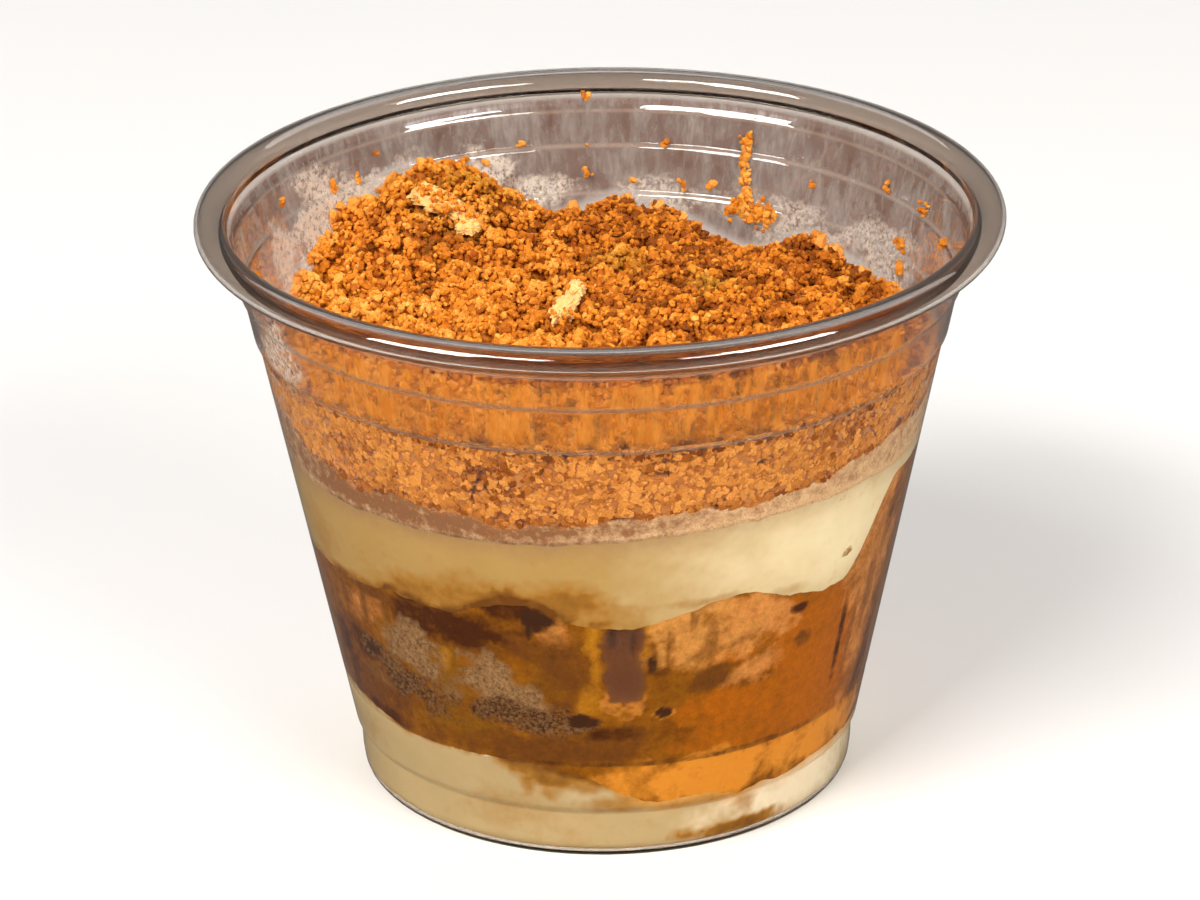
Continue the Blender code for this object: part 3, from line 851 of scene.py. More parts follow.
# Painted light: the cream's right side, drawn paler where the lamp at the front right falls on it.
CREAM_LIT_SIDE = ((50, 38, 30, 8.0, 1.0, 1.9, 0.0, 0.2),)
CREAM_SPECKS = (
    (51, 35.1, 1.5, 0.6, 0.8, 0.9), (7.5, 36.3, 0.7, 0.3, 0.7, 0.9), (47, 43, 2.5, 0.7, 0.35, 1.2),
)
BISCUIT_MARKS = {
    "orange": (
        (47, 21.5, 13, 10, 1.0, 0.9), (36, 18, 14, 4.4, 0.8, 1.2), (30, 19.5, 14, 2.6, 0.9, 0.9),
        (57, 15, 9, 3.4, 0.85, 1.0), (30, 15, 17, 2.4, 0.65, 0.9), (40, 28.5, 8, 3.2, 0.7, 0.9),
        (-6, 24.0, 2.5, 4.4, 0.35, 1.2), (27, 26.3, 6, 1.2, 0.8, 1.0),
    ),
    "golden": (
        (-33, 23.0, 3.6, 5.0, 0.9, 1.1), (-34, 16.6, 12, 2.6, 0.8, 1.2), (-10, 25.0, 5, 3.6, 0.9, 1.2),
        (12, 22.3, 5, 3.0, 0.35, 1.0), (-31, 31.8, 9, 1.0, 0.5, 1.3),
    ),
    # The caramel band is partly painted light: syrup-soaked sponge drawn brighter, as if lit more brightly
    # below the cup's stacking line.
    "caramel": (
        (24, 9.8, 16, 3.3, 1.0, 0.8), (50, 10.2, 18, 2.6, 0.9, 0.8), (6, 10.0, 9, 3.0, 0.62, 1.1),
        (66, 10.4, 8, 2.2, 0.8, 0.9),
    ),
    "pink": (
        (28.5, 30.6, 8.8, 3.6, 0.9, 0.8, 0.0, 0.6), (31, 23.8, 5.6, 2.0, 0.7, 1.1, 0.05, 0.7),
        (62, 34, 8.5, 9, 0.66, 0.8), (64, 22, 6, 9, 0.55, 0.8), (-9.6, 30.4, 3.8, 2.2, 0.5, 1.1),
        (-56, 27.5, 9, 2.2, 0.3, 1.2, 0.1),
    ),
    "tan": (
        (14.0, 31.0, 6.0, 2.9, 1.0, 0.8, 0.0, 0.6), (20.0, 29.6, 13, 4.2, 0.45, 1.0, 0.0, 0.6),
        (16.0, 28.2, 3.6, 2.4, 0.85, 1.2, 0.0, 0.8), (10.8, 28.6, 1.6, 2.8, 0.85, 1.1, 0.0, 0.8),
        (21, 33.4, 3, 0.7, 0.6, 1.0), (9.0, 32.4, 1.0, 0.5, 1.0, 0.6), (-9.8, 31.2, 2.2, 0.9, 0.5, 0.9),
    ),
    "brown": (
        (-56, 16.2, 11, 4.2, 1.0, 1.1), (-47, 17.2, 5, 1.6, 0.7, 1.2), (-62, 22, 9, 4.0, 0.8, 1.0),
        (-16, 28.8, 6, 2.0, 0.8, 1.0, -0.25), (1, 15.8, 10, 2.6, 0.85, 1.0),
        (-14, 14.6, 16, 2.0, 0.95, 1.0), (-10, 28.0, 5, 1.6, 0.8, 1.1), (-8.4, 25.6, 5.4, 4.6, 1.0, 1.3),
        (-38, 14.6, 9, 1.6, 0.45, 1.2), (21, 23.4, 4.6, 1.7, 0.8, 0.9, 0.12),
        # The thin marks from 9 to 28 degrees round, at 27 to 33 mm, are painted shade in crevices of the open
        # sponge.
        (42, 25.8, 2.4, 1.2, 0.6, 1.0), (20.5, 29.0, 1.6, 2.2, 0.55, 1.0),
        (9.0, 27.0, 1.4, 1.6, 0.7, 0.9), (12.0, 29.2, 0.9, 2.4, 0.75, 0.9, 0.3, 0.8),
        (16.5, 31.6, 0.8, 1.4, 0.6, 0.9, -0.4, 0.8), (18.5, 27.4, 3.4, 0.6, 0.6, 0.9, 0.2, 0.8),
        (27.5, 28.2, 4.0, 0.5, 0.45, 1.0, 0.2, 0.8), (11.2, 33.2, 2.2, 0.5, 0.7, 1.0),
        (-50, 31.0, 9, 0.8, 0.7, 1.1), (63, 27, 2.0, 5, 0.55, 1.0, 0.6),
        (58.5, 22, 1.2, 5, 0.55, 1.0, 0.4), (67, 36, 2.4, 4, 0.6, 1.0, 0.5), (64, 15.5, 6, 1.8, 0.5, 1.1),
        (-47, 28.0, 1.0, 2.6, 0.6, 1.0, 0.3), (-54, 28.0, 1.0, 2.4, 0.6, 1.0, 0.3),
        (-61, 28.0, 1.2, 2.0, 0.6, 1.0, 0.3),
    ),
    "ochre": (
        (-2.3, 26.4, 1.7, 6.0, 0.66, 1.7, 0.06, 0.9), (-3.5, 21.5, 2.2, 2.4, 0.5, 1.4),
        (8.0, 29.6, 0.9, 3.0, 0.45, 1.3, 0.0, 0.8), (-33, 25.2, 1.6, 1.6, 0.6, 1.2),
    ),
    "dark": (
        (-31, 29.9, 13, 2.5, 1.0, 1.0, 0.04), (-24, 28.0, 6, 1.4, 0.6, 1.2),
        (-19, 33.6, 4.4, 1.8, 0.95, 1.0), (-40, 32.4, 3.0, 1.2, 0.8, 1.0), (0, 17.2, 5, 1.0, 0.8, 1.1),
        (1.4, 30.4, 1.0, 2.2, 1.0, 1.0), (5.2, 29.4, 0.8, 1.8, 1.0, 1.0),
        (-58, 22.3, 5, 1.8, 0.95, 0.9, -0.1), (-56, 13.6, 8, 1.0, 0.7, 1.1),
        (54.3, 22.5, 0.9, 5.4, 0.85, 1.0), (39.5, 30.2, 2.6, 0.7, 1.0, 0.9),
        (24, 12.9, 42, 0.34, 0.52, 1.2), (-67, 18, 5, 7, 0.7, 1.2), (10.2, 25.4, 2.2, 0.6, 0.7, 1.0),
        (69, 18, 3, 8, 0.6, 1.2),
    ),
    "dry": (
        (-41.5, 24.8, 7.4, 3.2, 1.0, 0.8, -0.05, 0.7), (-24.0, 23.4, 6.6, 3.2, 1.0, 0.8, -0.1, 0.7),
        (-17, 21.6, 5.4, 2.2, 1.0, 0.8, -0.2, 0.7), (-49, 21.6, 5, 1.6, 0.6, 1.0),
        (-34, 20.6, 5, 1.2, 0.45, 1.1), (-55, 19.0, 5, 1.4, 0.35, 1.2),
    ),
    "speckle": (
        (-45.0, 20.2, 11.5, 2.3, 1.0, 1.0, -0.15, 0.7), (-18.5, 19.0, 12, 1.9, 1.0, 1.0, -0.05, 0.7),
        (-8, 18.7, 5.5, 1.2, 1.0, 0.8), (-55, 22.4, 5, 1.6, 1.0, 1.0), (-34, 19.4, 4, 0.9, 0.6, 1.1),
    ),
}
BISCUIT_GRAIN = (
    (21, 30, 15, 5.0, 1.0, 0.8), (-55, 18, 16, 9, 0.9, 1.0), (62, 28, 10, 16, 0.9, 0.8),
    (-10, 31, 6, 3, 0.9, 0.8), (-60, 27, 14, 5, 0.9, 1.0), (30, 25, 10, 8, 0.6, 1.0),
)
# Pits in the sponge, drawn near black: painted shade in holes that have no depth of their own.
ROUND_PIT = (11.6, 19.8, 1.7, 0.75, 0.9, 0.4, 0.0, 0.1)
BISCUIT_PITS = (
    (-12.2, 32.6, 3.2, 1.6, 1.0, 0.8), (-4.6, 18.9, 3.6, 0.95, 1.0, 0.7), ROUND_PIT,
    (-54, 22.4, 3.0, 0.8, 0.9, 0.9), (8.8, 26.4, 0.7, 1.0, 0.7, 0.8), (11.2, 25.6, 1.4, 0.35, 0.6, 0.8),
    (-14.5, 30.8, 0.8, 1.2, 0.7, 0.8),
)
POCKET_BOTTOM = (3.5, 25.4, 3.9, 5.2, 1.0, 0.8, 0.0, 0.5)
BISCUIT_POCKET = (
    POCKET_BOTTOM, (2.4, 29.8, 2.6, 3.4, 1.0, 0.8, 0.0, 0.5), (4.6, 29.4, 2.2, 3.4, 1.0, 0.8, 0.0, 0.5),
)


def bled(coffee, distance, reach, wall):
    """Coffee that has bled into cream from the biscuits: its share at each distance from them."""
    return coffee * (1 - smooth_step(distance, -0.1 * MM, reach)) * (1 + 1.4 * wall.ragged[1])


class TIRAMISU_OT_cream(bpy.types.Operator):
    """Lay the cream at the bottom and the cream above the biscuits"""

    bl_idname = "tiramisu.cream"
    bl_label = "Cream layers"

    def finish(self, layer, material, node, **attributes):
        store(layer.data, **attributes)
        activate(layer)
        bpy.ops.object.shade_smooth_by_angle(angle=math.radians(40))
        finish_piece(layer, material, "cream", node)

    def lay_bottom(self, settings):
        layer = layer_blank("cream_bottom_layer", 34, 6)
        x, y, z = shape_layer(layer, lambda x, y: np.full(x.shape, FLOOR - INTO_WALL + TUCK), cream_base_top)
        wall = Wall(x, y, z)
        below = cream_base_top(x, y) - z
        syrup = smooth_step(wall.az, -2, 8)
        bleeds = bled(0.55 - 0.35 * syrup, below, 1.4 * MM, wall)
        uneven = below - 0.7 * MM * wall.ragged[1]
        colours = (settings.base_colour, settings.base_lit_colour, settings.syrup_colour)
        self.finish(
            layer,
            cream_material(settings, "base cream", *colours),
            "cream_base",
            stain=np.clip(wall.marks(BASE_STAINS) + bleeds, 0, 1),
            # pale: painted light, the lit right side and a painted highlight line
            pale=wall.marks(BASE_LIT_MARKS),
            speck=0.0,
            dust=0.95 * syrup * (1 - smooth_step(uneven, -0.6 * MM, 2.6 * MM)),
        )

    def lay_top(self, settings):
        layer = layer_blank("cream_upper_layer", 32, 8, 6)
        x, y, z = shape_layer(layer, biscuit_top, cream_top)
        wall = Wall(x, y, z)
        above = z - biscuit_top(x, y)
        bleeds = bled(0.42 - 0.34 * smooth_step(wall.az, -2, 10), above, 1.1 * MM, wall)
        uneven = cream_top(x, y) - z - 0.8 * MM * wall.ragged[1]
        dusted = 1 - smooth_step(uneven, -0.8 * MM, 3.2 * MM)
        colours = (settings.colour, settings.pale_and_lit_colour, settings.dust_colour)
        self.finish(
            layer,
            cream_material(settings, "cream", *colours),
            "cream_top",
            stain=np.clip(wall.marks(CREAM_STAINS) + bleeds, 0, 1),
            # pale: painted light on the cream's lit right side
            pale=wall.marks(CREAM_LIT_SIDE),
            speck=wall.marks(CREAM_SPECKS),
            dust=dusted * (0.85 - 0.45 * smooth_step(wall.az, -5, 30)),
        )

    def execute(self, context):
        settings = context.scene.tiramisu_cream
        self.lay_bottom(settings)
        self.lay_top(settings)
        return {"FINISHED"}


POCKET_DEPTH = 0.4 * MM
UNDERSIDE_ROUGHNESS = 0.10 * MM
UNDERLAP = 1.5 * MM  # how far one biscuit runs behind the next at the wall
UNDERLAP_INSET = 0.9997  # of a face that runs behind another at the wall
END_INSET = 0.98  # of the faces where biscuits meet, so that they stay behind the pocket's face


def biscuit_relief(wall):
    """How far the sponge stands back from the plastic: the air pocket and the rough undersides."""
    rough = UNDERSIDE_ROUGHNESS * wall.marks(BISCUIT_MARKS["speckle"]) * wall.ragged[2]
    return POCKET_DEPTH * wall.marks(BISCUIT_POCKET, True) + np.clip(rough, 0, None)


def upright_edge(y):
    """x of the upright biscuit's inner face."""
    return UPRIGHT_CENTRE.x - UPRIGHT_HALF_WIDTH * np.sqrt(np.clip(1 - (y / UPRIGHT_HALF_DEPTH) ** 2, 0, 1))


def upright_reach(height):
    """How far along y the upright biscuit's inner face runs before it meets the wall."""
    along = np.linspace(0, UPRIGHT_HALF_DEPTH, 400)
    return np.interp(inner_radius(height), np.hypot(upright_edge(along), along), along)


def behind(past):
    """The inset of each point by how far it lies past a seam."""
    return np.where(past > UNDERLAP, END_INSET, np.where(past > 0, UNDERLAP_INSET, 1.0))


def push_left(x, y):
    inset = behind(x - seam_x(y))
    return np.minimum(x, seam_x(y) + UNDERLAP) * np.where(inset < 1, UNDERLAP_INSET, 1), y * inset


def push_right(x, y):
    outer = np.where(np.abs(y) < UPRIGHT_HALF_DEPTH, upright_edge(y), 1.0)
    inset = np.where(x < seam_x(y), END_INSET, behind(x - outer))
    return np.clip(x, seam_x(y), outer + UNDERLAP), y * inset


def push_upright(x, y, z):
    reach = upright_reach(z)
    y = np.clip(y, -reach, reach)
    return np.maximum(x, upright_edge(y)), y


class TIRAMISU_OT_biscuits(bpy.types.Operator):
    """Lay the two soaked biscuits and the one that stands by the wall"""

    bl_idname = "tiramisu.biscuits"
    bl_label = "Soaked biscuits"

    def mark(self, block, wall):
        """Stores every mark of the sponge on the block."""
        store(block.data, **{name: wall.marks(spots) for name, spots in BISCUIT_MARKS.items()})
        low = 0.75 * (1 - smooth_step(wall.z, 21.0, 25.0))
        smooth = 1 - 0.8 * wall.marks(BISCUIT_MARKS["caramel"])
        store(
            block.data,
            pit=wall.marks(BISCUIT_PITS, True),
            rim=np.maximum(0.8 * wall.rim(*ROUND_PIT), low * wall.rim(*POCKET_BOTTOM)),
            grain=(0.65 + 0.35 * wall.marks(BISCUIT_GRAIN)) * smooth,
            pocket=wall.marks(BISCUIT_POCKET, True),
        )

    def execute(self, context):
        material = biscuit_material(context.scene.tiramisu_biscuit)
        block = layer_blank("biscuit_block", 64, 6)
        x, y, z = shape_layer(block, cream_base_top, biscuit_top, biscuit_relief)
        self.mark(block, Wall(x, y, z))
        pushed = {
            "biscuit_left": push_left(x, y),
            "biscuit_right": push_right(x, y),
            "biscuit_upright": push_upright(x, y, z),
        }
        for node, (across, along) in pushed.items():
            piece = link(node + "_soaked", block.data.copy())
            set_coordinates(piece.data, np.stack([across, along, z], axis=1))
            activate(piece)
            bpy.ops.object.mode_set(mode="EDIT")
            bpy.ops.mesh.select_all(action="SELECT")
            bpy.ops.mesh.remove_doubles(threshold=1e-6)
            bpy.ops.mesh.dissolve_degenerate(threshold=1e-6)
            bpy.ops.object.mode_set(mode="OBJECT")
            bpy.ops.object.shade_smooth_by_angle(angle=SMOOTH_ANGLE)
            finish_piece(piece, material, "soaked_biscuit", node)
        bpy.data.objects.remove(block)
        return {"FINISHED"}


# ==== Crumbs ====================

SEED = 5
CRUMB_SHAPES = 12
CRUMB_ROUGHNESS = 0.62
CRUMB_INTO_WALL = 0.6 * INTO_WALL
BED_DEPTH = 1.5 * MM  # of the heap between its lumps
LUMP_ROWS = 0.87  # distance of the rows of lumps, in spacings
LUMP_SWING = 0.38  # of the spacing, sideways
LUMP_RADII = (0.42, 0.72)  # in spacings
LUMPS_KEPT = 0.9  # share of the lumps; the rest leave hollows
BURIED = 0.86  # share of a lump's radius inside which no crumb is placed
LUMP_STEP = 0.4 * MM  # how far the lumps stand over or under the heap's mean height
PART = 4000  # points worked out at a time, to spare memory
OVER_MEAN, SUNK_DEPTH = 0.2 * MM, 1.6 * MM
CRUMB_ATTRIBUTES = ("tone", "dust", "cream", "olive", "tan")


def crumb_shapes(draw):
    """Uneven crumbs of radius 1, each from an icosphere: (points of each, shared faces)."""
    deselect()
    bpy.ops.mesh.primitive_ico_sphere_add(subdivisions=1, radius=1.0)
    ball = bpy.context.object
    points = coordinates(ball.data)
    faces = np.array([tuple(p.vertices) for p in ball.data.polygons])
    bpy.data.objects.remove(ball)
    shapes = []
    for _ in range(CRUMB_SHAPES):
        offset = Vector((draw.random(), draw.random(), draw.random())) * 50
        broad = [noise.noise(Vector(p) * 1.6 + offset) for p in points]
        fine = [noise.noise(Vector(p) * 3.4 + offset) for p in points]
        swell = 1 + CRUMB_ROUGHNESS * (np.array(broad) + 0.6 * np.array(fine))
        stretch = np.array([draw.uniform(0.65, 1.2) for _ in range(3)])
        shapes.append(points * swell[:, None] * stretch)
    return np.array(shapes), faces


def random_turns(count, rng):
    """Random rotation matrices."""
    quaternion = rng.normal(size=(count, 4))
    quaternion /= np.linalg.norm(quaternion, axis=1)[:, None]
    w, x, y, z = quaternion.T
    rows = (
        (1 - 2 * (y * y + z * z), 2 * (x * y - z * w), 2 * (x * z + y * w)),
        (2 * (x * y + z * w), 1 - 2 * (x * x + z * z), 2 * (y * z - x * w)),
        (2 * (x * z - y * w), 2 * (y * z + x * w), 1 - 2 * (x * x + y * y)),
    )
    return np.stack([np.stack(row, axis=1) for row in rows], axis=1)


def scatter(name, places, radii, rng, **values):
    """One mesh of many crumbs, each at its place with its radius. values: one number for each crumb."""
    shapes, faces = crumb_shapes(random.Random(SEED))
    count, each = len(places), shapes.shape[1]
    base = shapes[rng.integers(0, CRUMB_SHAPES, count)]
    turned = np.einsum("nij,nkj->nki", random_turns(count, rng), base)
    points = (turned * radii[:, None, None] + places[:, None, :]).reshape(-1, 3)
    reach = np.hypot(points[:, 0], points[:, 1])
    most = inner_radius(points[:, 2]) + CRUMB_INTO_WALL
    points[:, :2] *= np.minimum(1.0, most / np.maximum(reach, 1e-9))[:, None]
    all_faces = (faces[None, :, :] + (np.arange(count) * each)[:, None, None]).reshape(-1, 3)
    mesh = bpy.data.meshes.new(name)
    mesh.vertices.add(len(points))
    mesh.vertices.foreach_set("co", points.astype(np.float32).ravel())
    mesh.loops.add(all_faces.size)
    mesh.loops.foreach_set("vertex_index", all_faces.astype(np.int32).ravel())
    mesh.polygons.add(len(all_faces))
    mesh.polygons.foreach_set("loop_start", np.arange(0, all_faces.size, 3, dtype=np.int32))
    mesh.update(calc_edges=True)
    mesh.shade_flat()
    store(mesh, **{key: np.repeat(values.get(key, np.zeros(count)), each) for key in CRUMB_ATTRIBUTES})
    return link(name, mesh)


def crumb_edge(az):
    """Height on the wall of the lowest crumbs, above the band of dust."""
    side = np.clip(np.abs(az) / 60, 0, 1.3)
    waves = 0.35 * np.sin(az / 7.0) + 0.3 * np.sin(az / 2.3)
    return (45.7 + 0.8 * np.tanh(az / 25) + 1.9 * side**3 + waves) * MM


def pressed_share(z):
    """How tan the crumbs at the wall are: most low down, where they are pressed hard on it."""
    return 0.2 + 0.55 * (1 - smooth_step(z, 53.5 * MM, 57.5 * MM))


def sunk_share(points):
    """How deep each point sits in the heap's face, from 0 to 1."""
    return np.clip((heap_top(points[:, 0], points[:, 1]) + OVER_MEAN - points[:, 2]) / SUNK_DEPTH, 0, 1)


class Heap:
    """Lumps that the crumbs cling together in, over a lower bed, about the heap's mean height."""

    def __init__(self, spacing, rng):
        self.reach = float(inner_radius(HEAP_LEVEL)) - 0.5 * MM
        side = int(self.reach / spacing) + 1
        rows, columns = range(-2 * side, 2 * side), range(-side, side + 1)
        grid = np.array([(i + 0.5 * (j % 2), j * LUMP_ROWS) for i in columns for j in rows])
        places = (grid + rng.uniform(-LUMP_SWING, LUMP_SWING, grid.shape)) * spacing
        places = places[np.hypot(places[:, 0], places[:, 1]) < self.reach]
        places = places[rng.random(len(places)) < LUMPS_KEPT]
        self.radii = rng.uniform(*LUMP_RADII, len(places)) * spacing
        top = heap_top(places[:, 0], places[:, 1]) + rng.normal(0.05 * MM, LUMP_STEP, len(places))
        self.centres = np.column_stack([places, top - self.radii])

    def height(self, x, y):
        """Height of the lumps, or of the bed between them, at each (x, y)."""
        found = heap_top(x, y) - BED_DEPTH
        for start in range(0, len(found), PART):
            part = slice(start, start + PART)
            apart = np.hypot(x[part, None] - self.centres[:, 0], y[part, None] - self.centres[:, 1])
            dome = np.sqrt(np.clip(self.radii**2 - apart**2, 0, None))
            over = np.where(apart < self.radii, self.centres[:, 2] + dome, -1.0).max(axis=1)
            found[part] = np.maximum(found[part], over)
        return found

    def bed(self, x, y):
        """The lowest height close round each (x, y), so that the core stays under its crumbs."""
        step = 0.45 * MM
        sides = ((0, 0), (1, 0), (-1, 0), (0, 1), (0, -1))
        return np.min([self.height(x + a * step, y + b * step) for a, b in sides], axis=0)

    def buried(self, points):
        """True for each point that lies inside a lump."""
        inside = np.zeros(len(points), bool)
        for start in range(0, len(points), PART):
            part = points[start : start + PART]
            apart = np.linalg.norm(part[:, None, :] - self.centres[None, :, :], axis=2)
            inside[start : start + PART] = (apart < self.radii * BURIED).any(axis=1)
        return inside

    def grains(self, count, rng):
        """Places all over the lumps' exposed faces."""
        share = self.radii**2 / (self.radii**2).sum()
        lump = rng.choice(len(self.radii), int(count * 2.2), p=share)
        direction = rng.normal(size=(len(lump), 3))
        direction[:, 2] = np.abs(direction[:, 2]) * 1.15 - 0.25
        direction /= np.linalg.norm(direction, axis=1)[:, None]
        radii = self.radii[lump] * rng.uniform(0.9, 1.06, len(lump))
        points = self.centres[lump] + direction * radii[:, None]
        keep = ~self.buried(points) & (points[:, 2] > heap_top(points[:, 0], points[:, 1]) - 2.0 * MM)
        return points[keep][:count]

    def carpet(self, count, rng):
        """Places spread over the whole face, denser where it is steep or sunk."""
        turn, out = rng.uniform(0, math.tau, 3 * count), self.reach * np.sqrt(rng.random(3 * count))
        x, y = out * np.cos(turn), out * np.sin(turn)
        z, step = self.height(x, y), 0.3 * MM
        slope = np.hypot(self.height(x + step, y) - z, self.height(x, y + step) - z) / step
        sunk = smooth_step(heap_top(x, y) - z, 0.8 * MM, 1.3 * MM)
        keep = rng.random(len(z)) < np.clip((1 + slope) / 5 + sunk, 0, 1)
        return np.stack([x, y, z], axis=1)[keep][:count]


# Hollows in the crumbs at the wall, as marks on the wall: the core is set back there, and core and crumbs are
# toned darker as painted shade.
CRUMB_PITS = (
    (-18, 50.5, 9, 3.0, 1.0, 1.0), (44, 52.0, 9, 2.6, 0.8, 1.0), (10, 53.0, 8, 1.6, 0.6, 1.0),
    (-48, 50, 6, 1.6, 0.6, 1.0),
)
# Olive patches on the heap: x, y, spread (mm).
OLIVE_PATCHES = ((-17.5, 22.5, 4.5), (-14.5, 26.5, 3.0), (2.0, 14.0, 3.0), (13.0, 8.0, 3.0))


class TIRAMISU_OT_crumbs(bpy.types.Operator):
    """Heap the crumbs: a lumpy core, crumbs all over it, and crumbs pressed on the wall"""

    bl_idname = "tiramisu.crumbs"
    bl_label = "Crumbs"

    def core(self, heap, material):
        """The heap's body, with hollows between the crumbs at the wall and a band of dust under them."""
        core = layer_blank("crumb_heap", 34, 76)
        x, y, z = shape_layer(core, cream_top, lambda a, b: heap.bed(a, b) - 0.15 * MM)
        wall = Wall(x, y, z)
        radius = np.hypot(x, y)
        edge = crumb_edge(wall.az) + MM * (0.7 * wall.ragged[0] + 0.6 * wall.ragged[2])
        crumbs = smooth_step(z, edge - 0.15 * MM, edge + 0.25 * MM)
        at_wall = radius > inner_radius(z) - 0.3 * MM
        # Hollows at the wall: the core is set back there, and toned darker as painted shade.
        pits = np.clip(wall.ragged[1] * 1.6 - 0.30 + 0.35 * wall.marks(CRUMB_PITS), 0, 1)
        inset = np.where(at_wall, (0.25 + 0.9 * pits) * MM * crumbs, 0.0)
        shrink = 1 - inset / np.maximum(radius, 1e-9)
        set_coordinates(core.data, np.stack([x * shrink, y * shrink, z], axis=1))
        low_down = 1 - smooth_step(z - cream_top(x, y), 0.0, 1.1 * MM)
        paler = 0.35 * low_down + 0.25 * smooth_step(-wall.az, 52, 66)
        store(
            core.data,
            # Painted shade: the core's top is toned dark so that it shows dark between the lumps.
            tone=np.where(at_wall, 0.62 - 0.6 * pits, 0.15),
            dust=np.where(at_wall, 1 - crumbs, 0),
            cream=0.37 + 0.35 * np.tanh((wall.az - 8) / 22) + paler,
            olive=0.0,
            tan=np.where(at_wall, pressed_share(z), 0.0),
        )
        bpy.ops.object.shade_smooth()
        finish_piece(core, material, "biscuit_crumbs", "crumbs")

    def pieces(self, name, count, places, radii, rng, material, **values):
        """Scatters the crumbs as several pieces of equal size."""
        size = len(places) // count
        for part in range(count):
            chosen = slice(part * size, (part + 1) * size)
            picked = {key: numbers[chosen] for key, numbers in values.items()}
            piece = scatter(f"{name}_{part + 1}", places[chosen], radii[chosen], rng, **picked)
            finish_piece(piece, material, "biscuit_crumbs")

    def heap_crumbs(self, settings, heap, rng, material):
        """Crumbs all over the heap, with painted shade: darker in its hollows and towards the back right."""
        carpet = heap.carpet(settings.top_count // 3, rng)
        places = np.concatenate([heap.grains(settings.top_count - len(carpet), rng), carpet])
        places = places[rng.permutation(len(places))]
        olive = np.zeros(len(places))
        for patch_x, patch_y, spread in OLIVE_PATCHES:
            apart = np.hypot(places[:, 0] / MM - patch_x, places[:, 1] / MM - patch_y)
            olive = np.maximum(olive, 0.7 * np.exp(-0.5 * (apart / spread * 1.6) ** 2))
        # Painted shade: the tone falls towards the heap's right and back, which face away from the lamps, and
        # in its hollows.
        side = np.tanh((places[:, 0] / MM + 8) / 14) + 0.6 * np.tanh((places[:, 1] / MM - 12) / 10)
        tone = rng.normal(0.50, 0.18, len(places)) - 0.16 * side - 0.58 * sunk_share(places)
        radii = settings.radius * np.exp(rng.normal(0, 0.25, len(places)))
        tone = np.clip(tone, 0, 1)
        self.pieces("crumbs_top", 3, places, radii, rng, material, tone=tone, olive=olive)

    def wall_crumbs(self, settings, heap, rng, material):
        """Crumbs pressed on the wall, from the band of dust up to the heap's face."""
        count = settings.wall_count
        az = rng.uniform(-180, 180, count)
        angle = np.radians(az)
        edge = crumb_edge(mirrored(az))
        reach = float(inner_radius(HEAP_LEVEL)) * 0.97
        high = heap.height(reach * np.sin(angle), -reach * np.cos(angle)) + 0.3 * MM
        low = edge + 0.7 * MM * rng.normal(0, 1, count)
        z = low + (high - low) * rng.random(count)
        radii = 1.3 * settings.radius * np.exp(rng.normal(0, 0.3, count))
        radius = inner_radius(z) - radii * rng.uniform(0.1, 0.8, count)
        pits = np.zeros(count)
        for pit_az, pit_z, half_az, half_z, share, _ in CRUMB_PITS:
            far = ((az - pit_az) / half_az) ** 2 + ((z / MM - pit_z) / half_z) ** 2
            pits = np.maximum(pits, share * np.exp(-far))
        # Painted shade: crumbs in the hollows are toned darker.
        tone = rng.normal(0.66, 0.17, count) - 0.65 * pits * (rng.random(count) < 0.6)
        tone = np.clip(tone - 0.45 * np.exp(-(((z - edge) / (0.7 * MM)) ** 2)), 0, 1)
        places = around(angle, radius, z)
        self.pieces("crumbs_at_wall", 2, places, radii, rng, material, tone=tone, tan=pressed_share(z))

    def execute(self, context):
        settings = context.scene.tiramisu_crumb
        rng = np.random.default_rng(SEED)
        heap = Heap(settings.lump_spacing, rng)
        material = crumb_material(settings)
        self.core(heap, material)
        self.heap_crumbs(settings, heap, rng, material)
        self.wall_crumbs(settings, heap, rng, material)
        return {"FINISHED"}


# ==== Cream on the heap, and marks on the wall ====================

# Crumbs that cling to the wall: degrees round it, height (mm), how many, spread (mm).
WALL_CRUMBS = (
    (-178, 66.8, 5, 0.5), (-166.5, 61.2, 6, 0.6), (-178, 60.9, 2, 0.4), (-178, 57.9, 6, 0.7),
    (168.5, 61.1, 4, 0.5), (174, 56.9, 3, 0.4), (165.4, 56.7, 5, 0.6), (160, 56.7, 4, 0.5),
    (-129, 61.6, 9, 0.8), (-135.2, 61.1, 5, 0.5), (-115, 62.8, 6, 0.6), (-127, 58.6, 6, 0.7),
    (-155.8, 60.3, 6, 0.6), (-159.8, 59.9, 4, 0.5), (123.5, 61.8, 6, 0.6), (111.9, 61.8, 9, 0.8),
    (99.9, 60.5, 7, 0.7), (115.5, 56.2, 7, 0.7), (113.9, 54.2, 9, 0.9), (154, 62.7, 20, 0.9),
    (154.1, 61.6, 12, 0.6), (154, 60.6, 14, 0.6), (153.9, 59.6, 14, 0.6), (153.8, 58.6, 14, 0.6),
    (153.6, 57.6, 14, 0.6), (153.4, 56.6, 16, 0.7), (153.2, 55.6, 20, 0.9), (152.8, 54.8, 36, 1.3),
    (150.0, 54.3, 40, 1.5), (155.0, 54.5, 26, 1.2), (147.5, 54.0, 14, 1.0), (-140, 63.5, 3, 0.4),
    (140, 59.0, 3, 0.5), (-95, 59.0, 5, 0.8), (80, 58.6, 5, 0.7), (-75, 60.2, 4, 0.6),
)
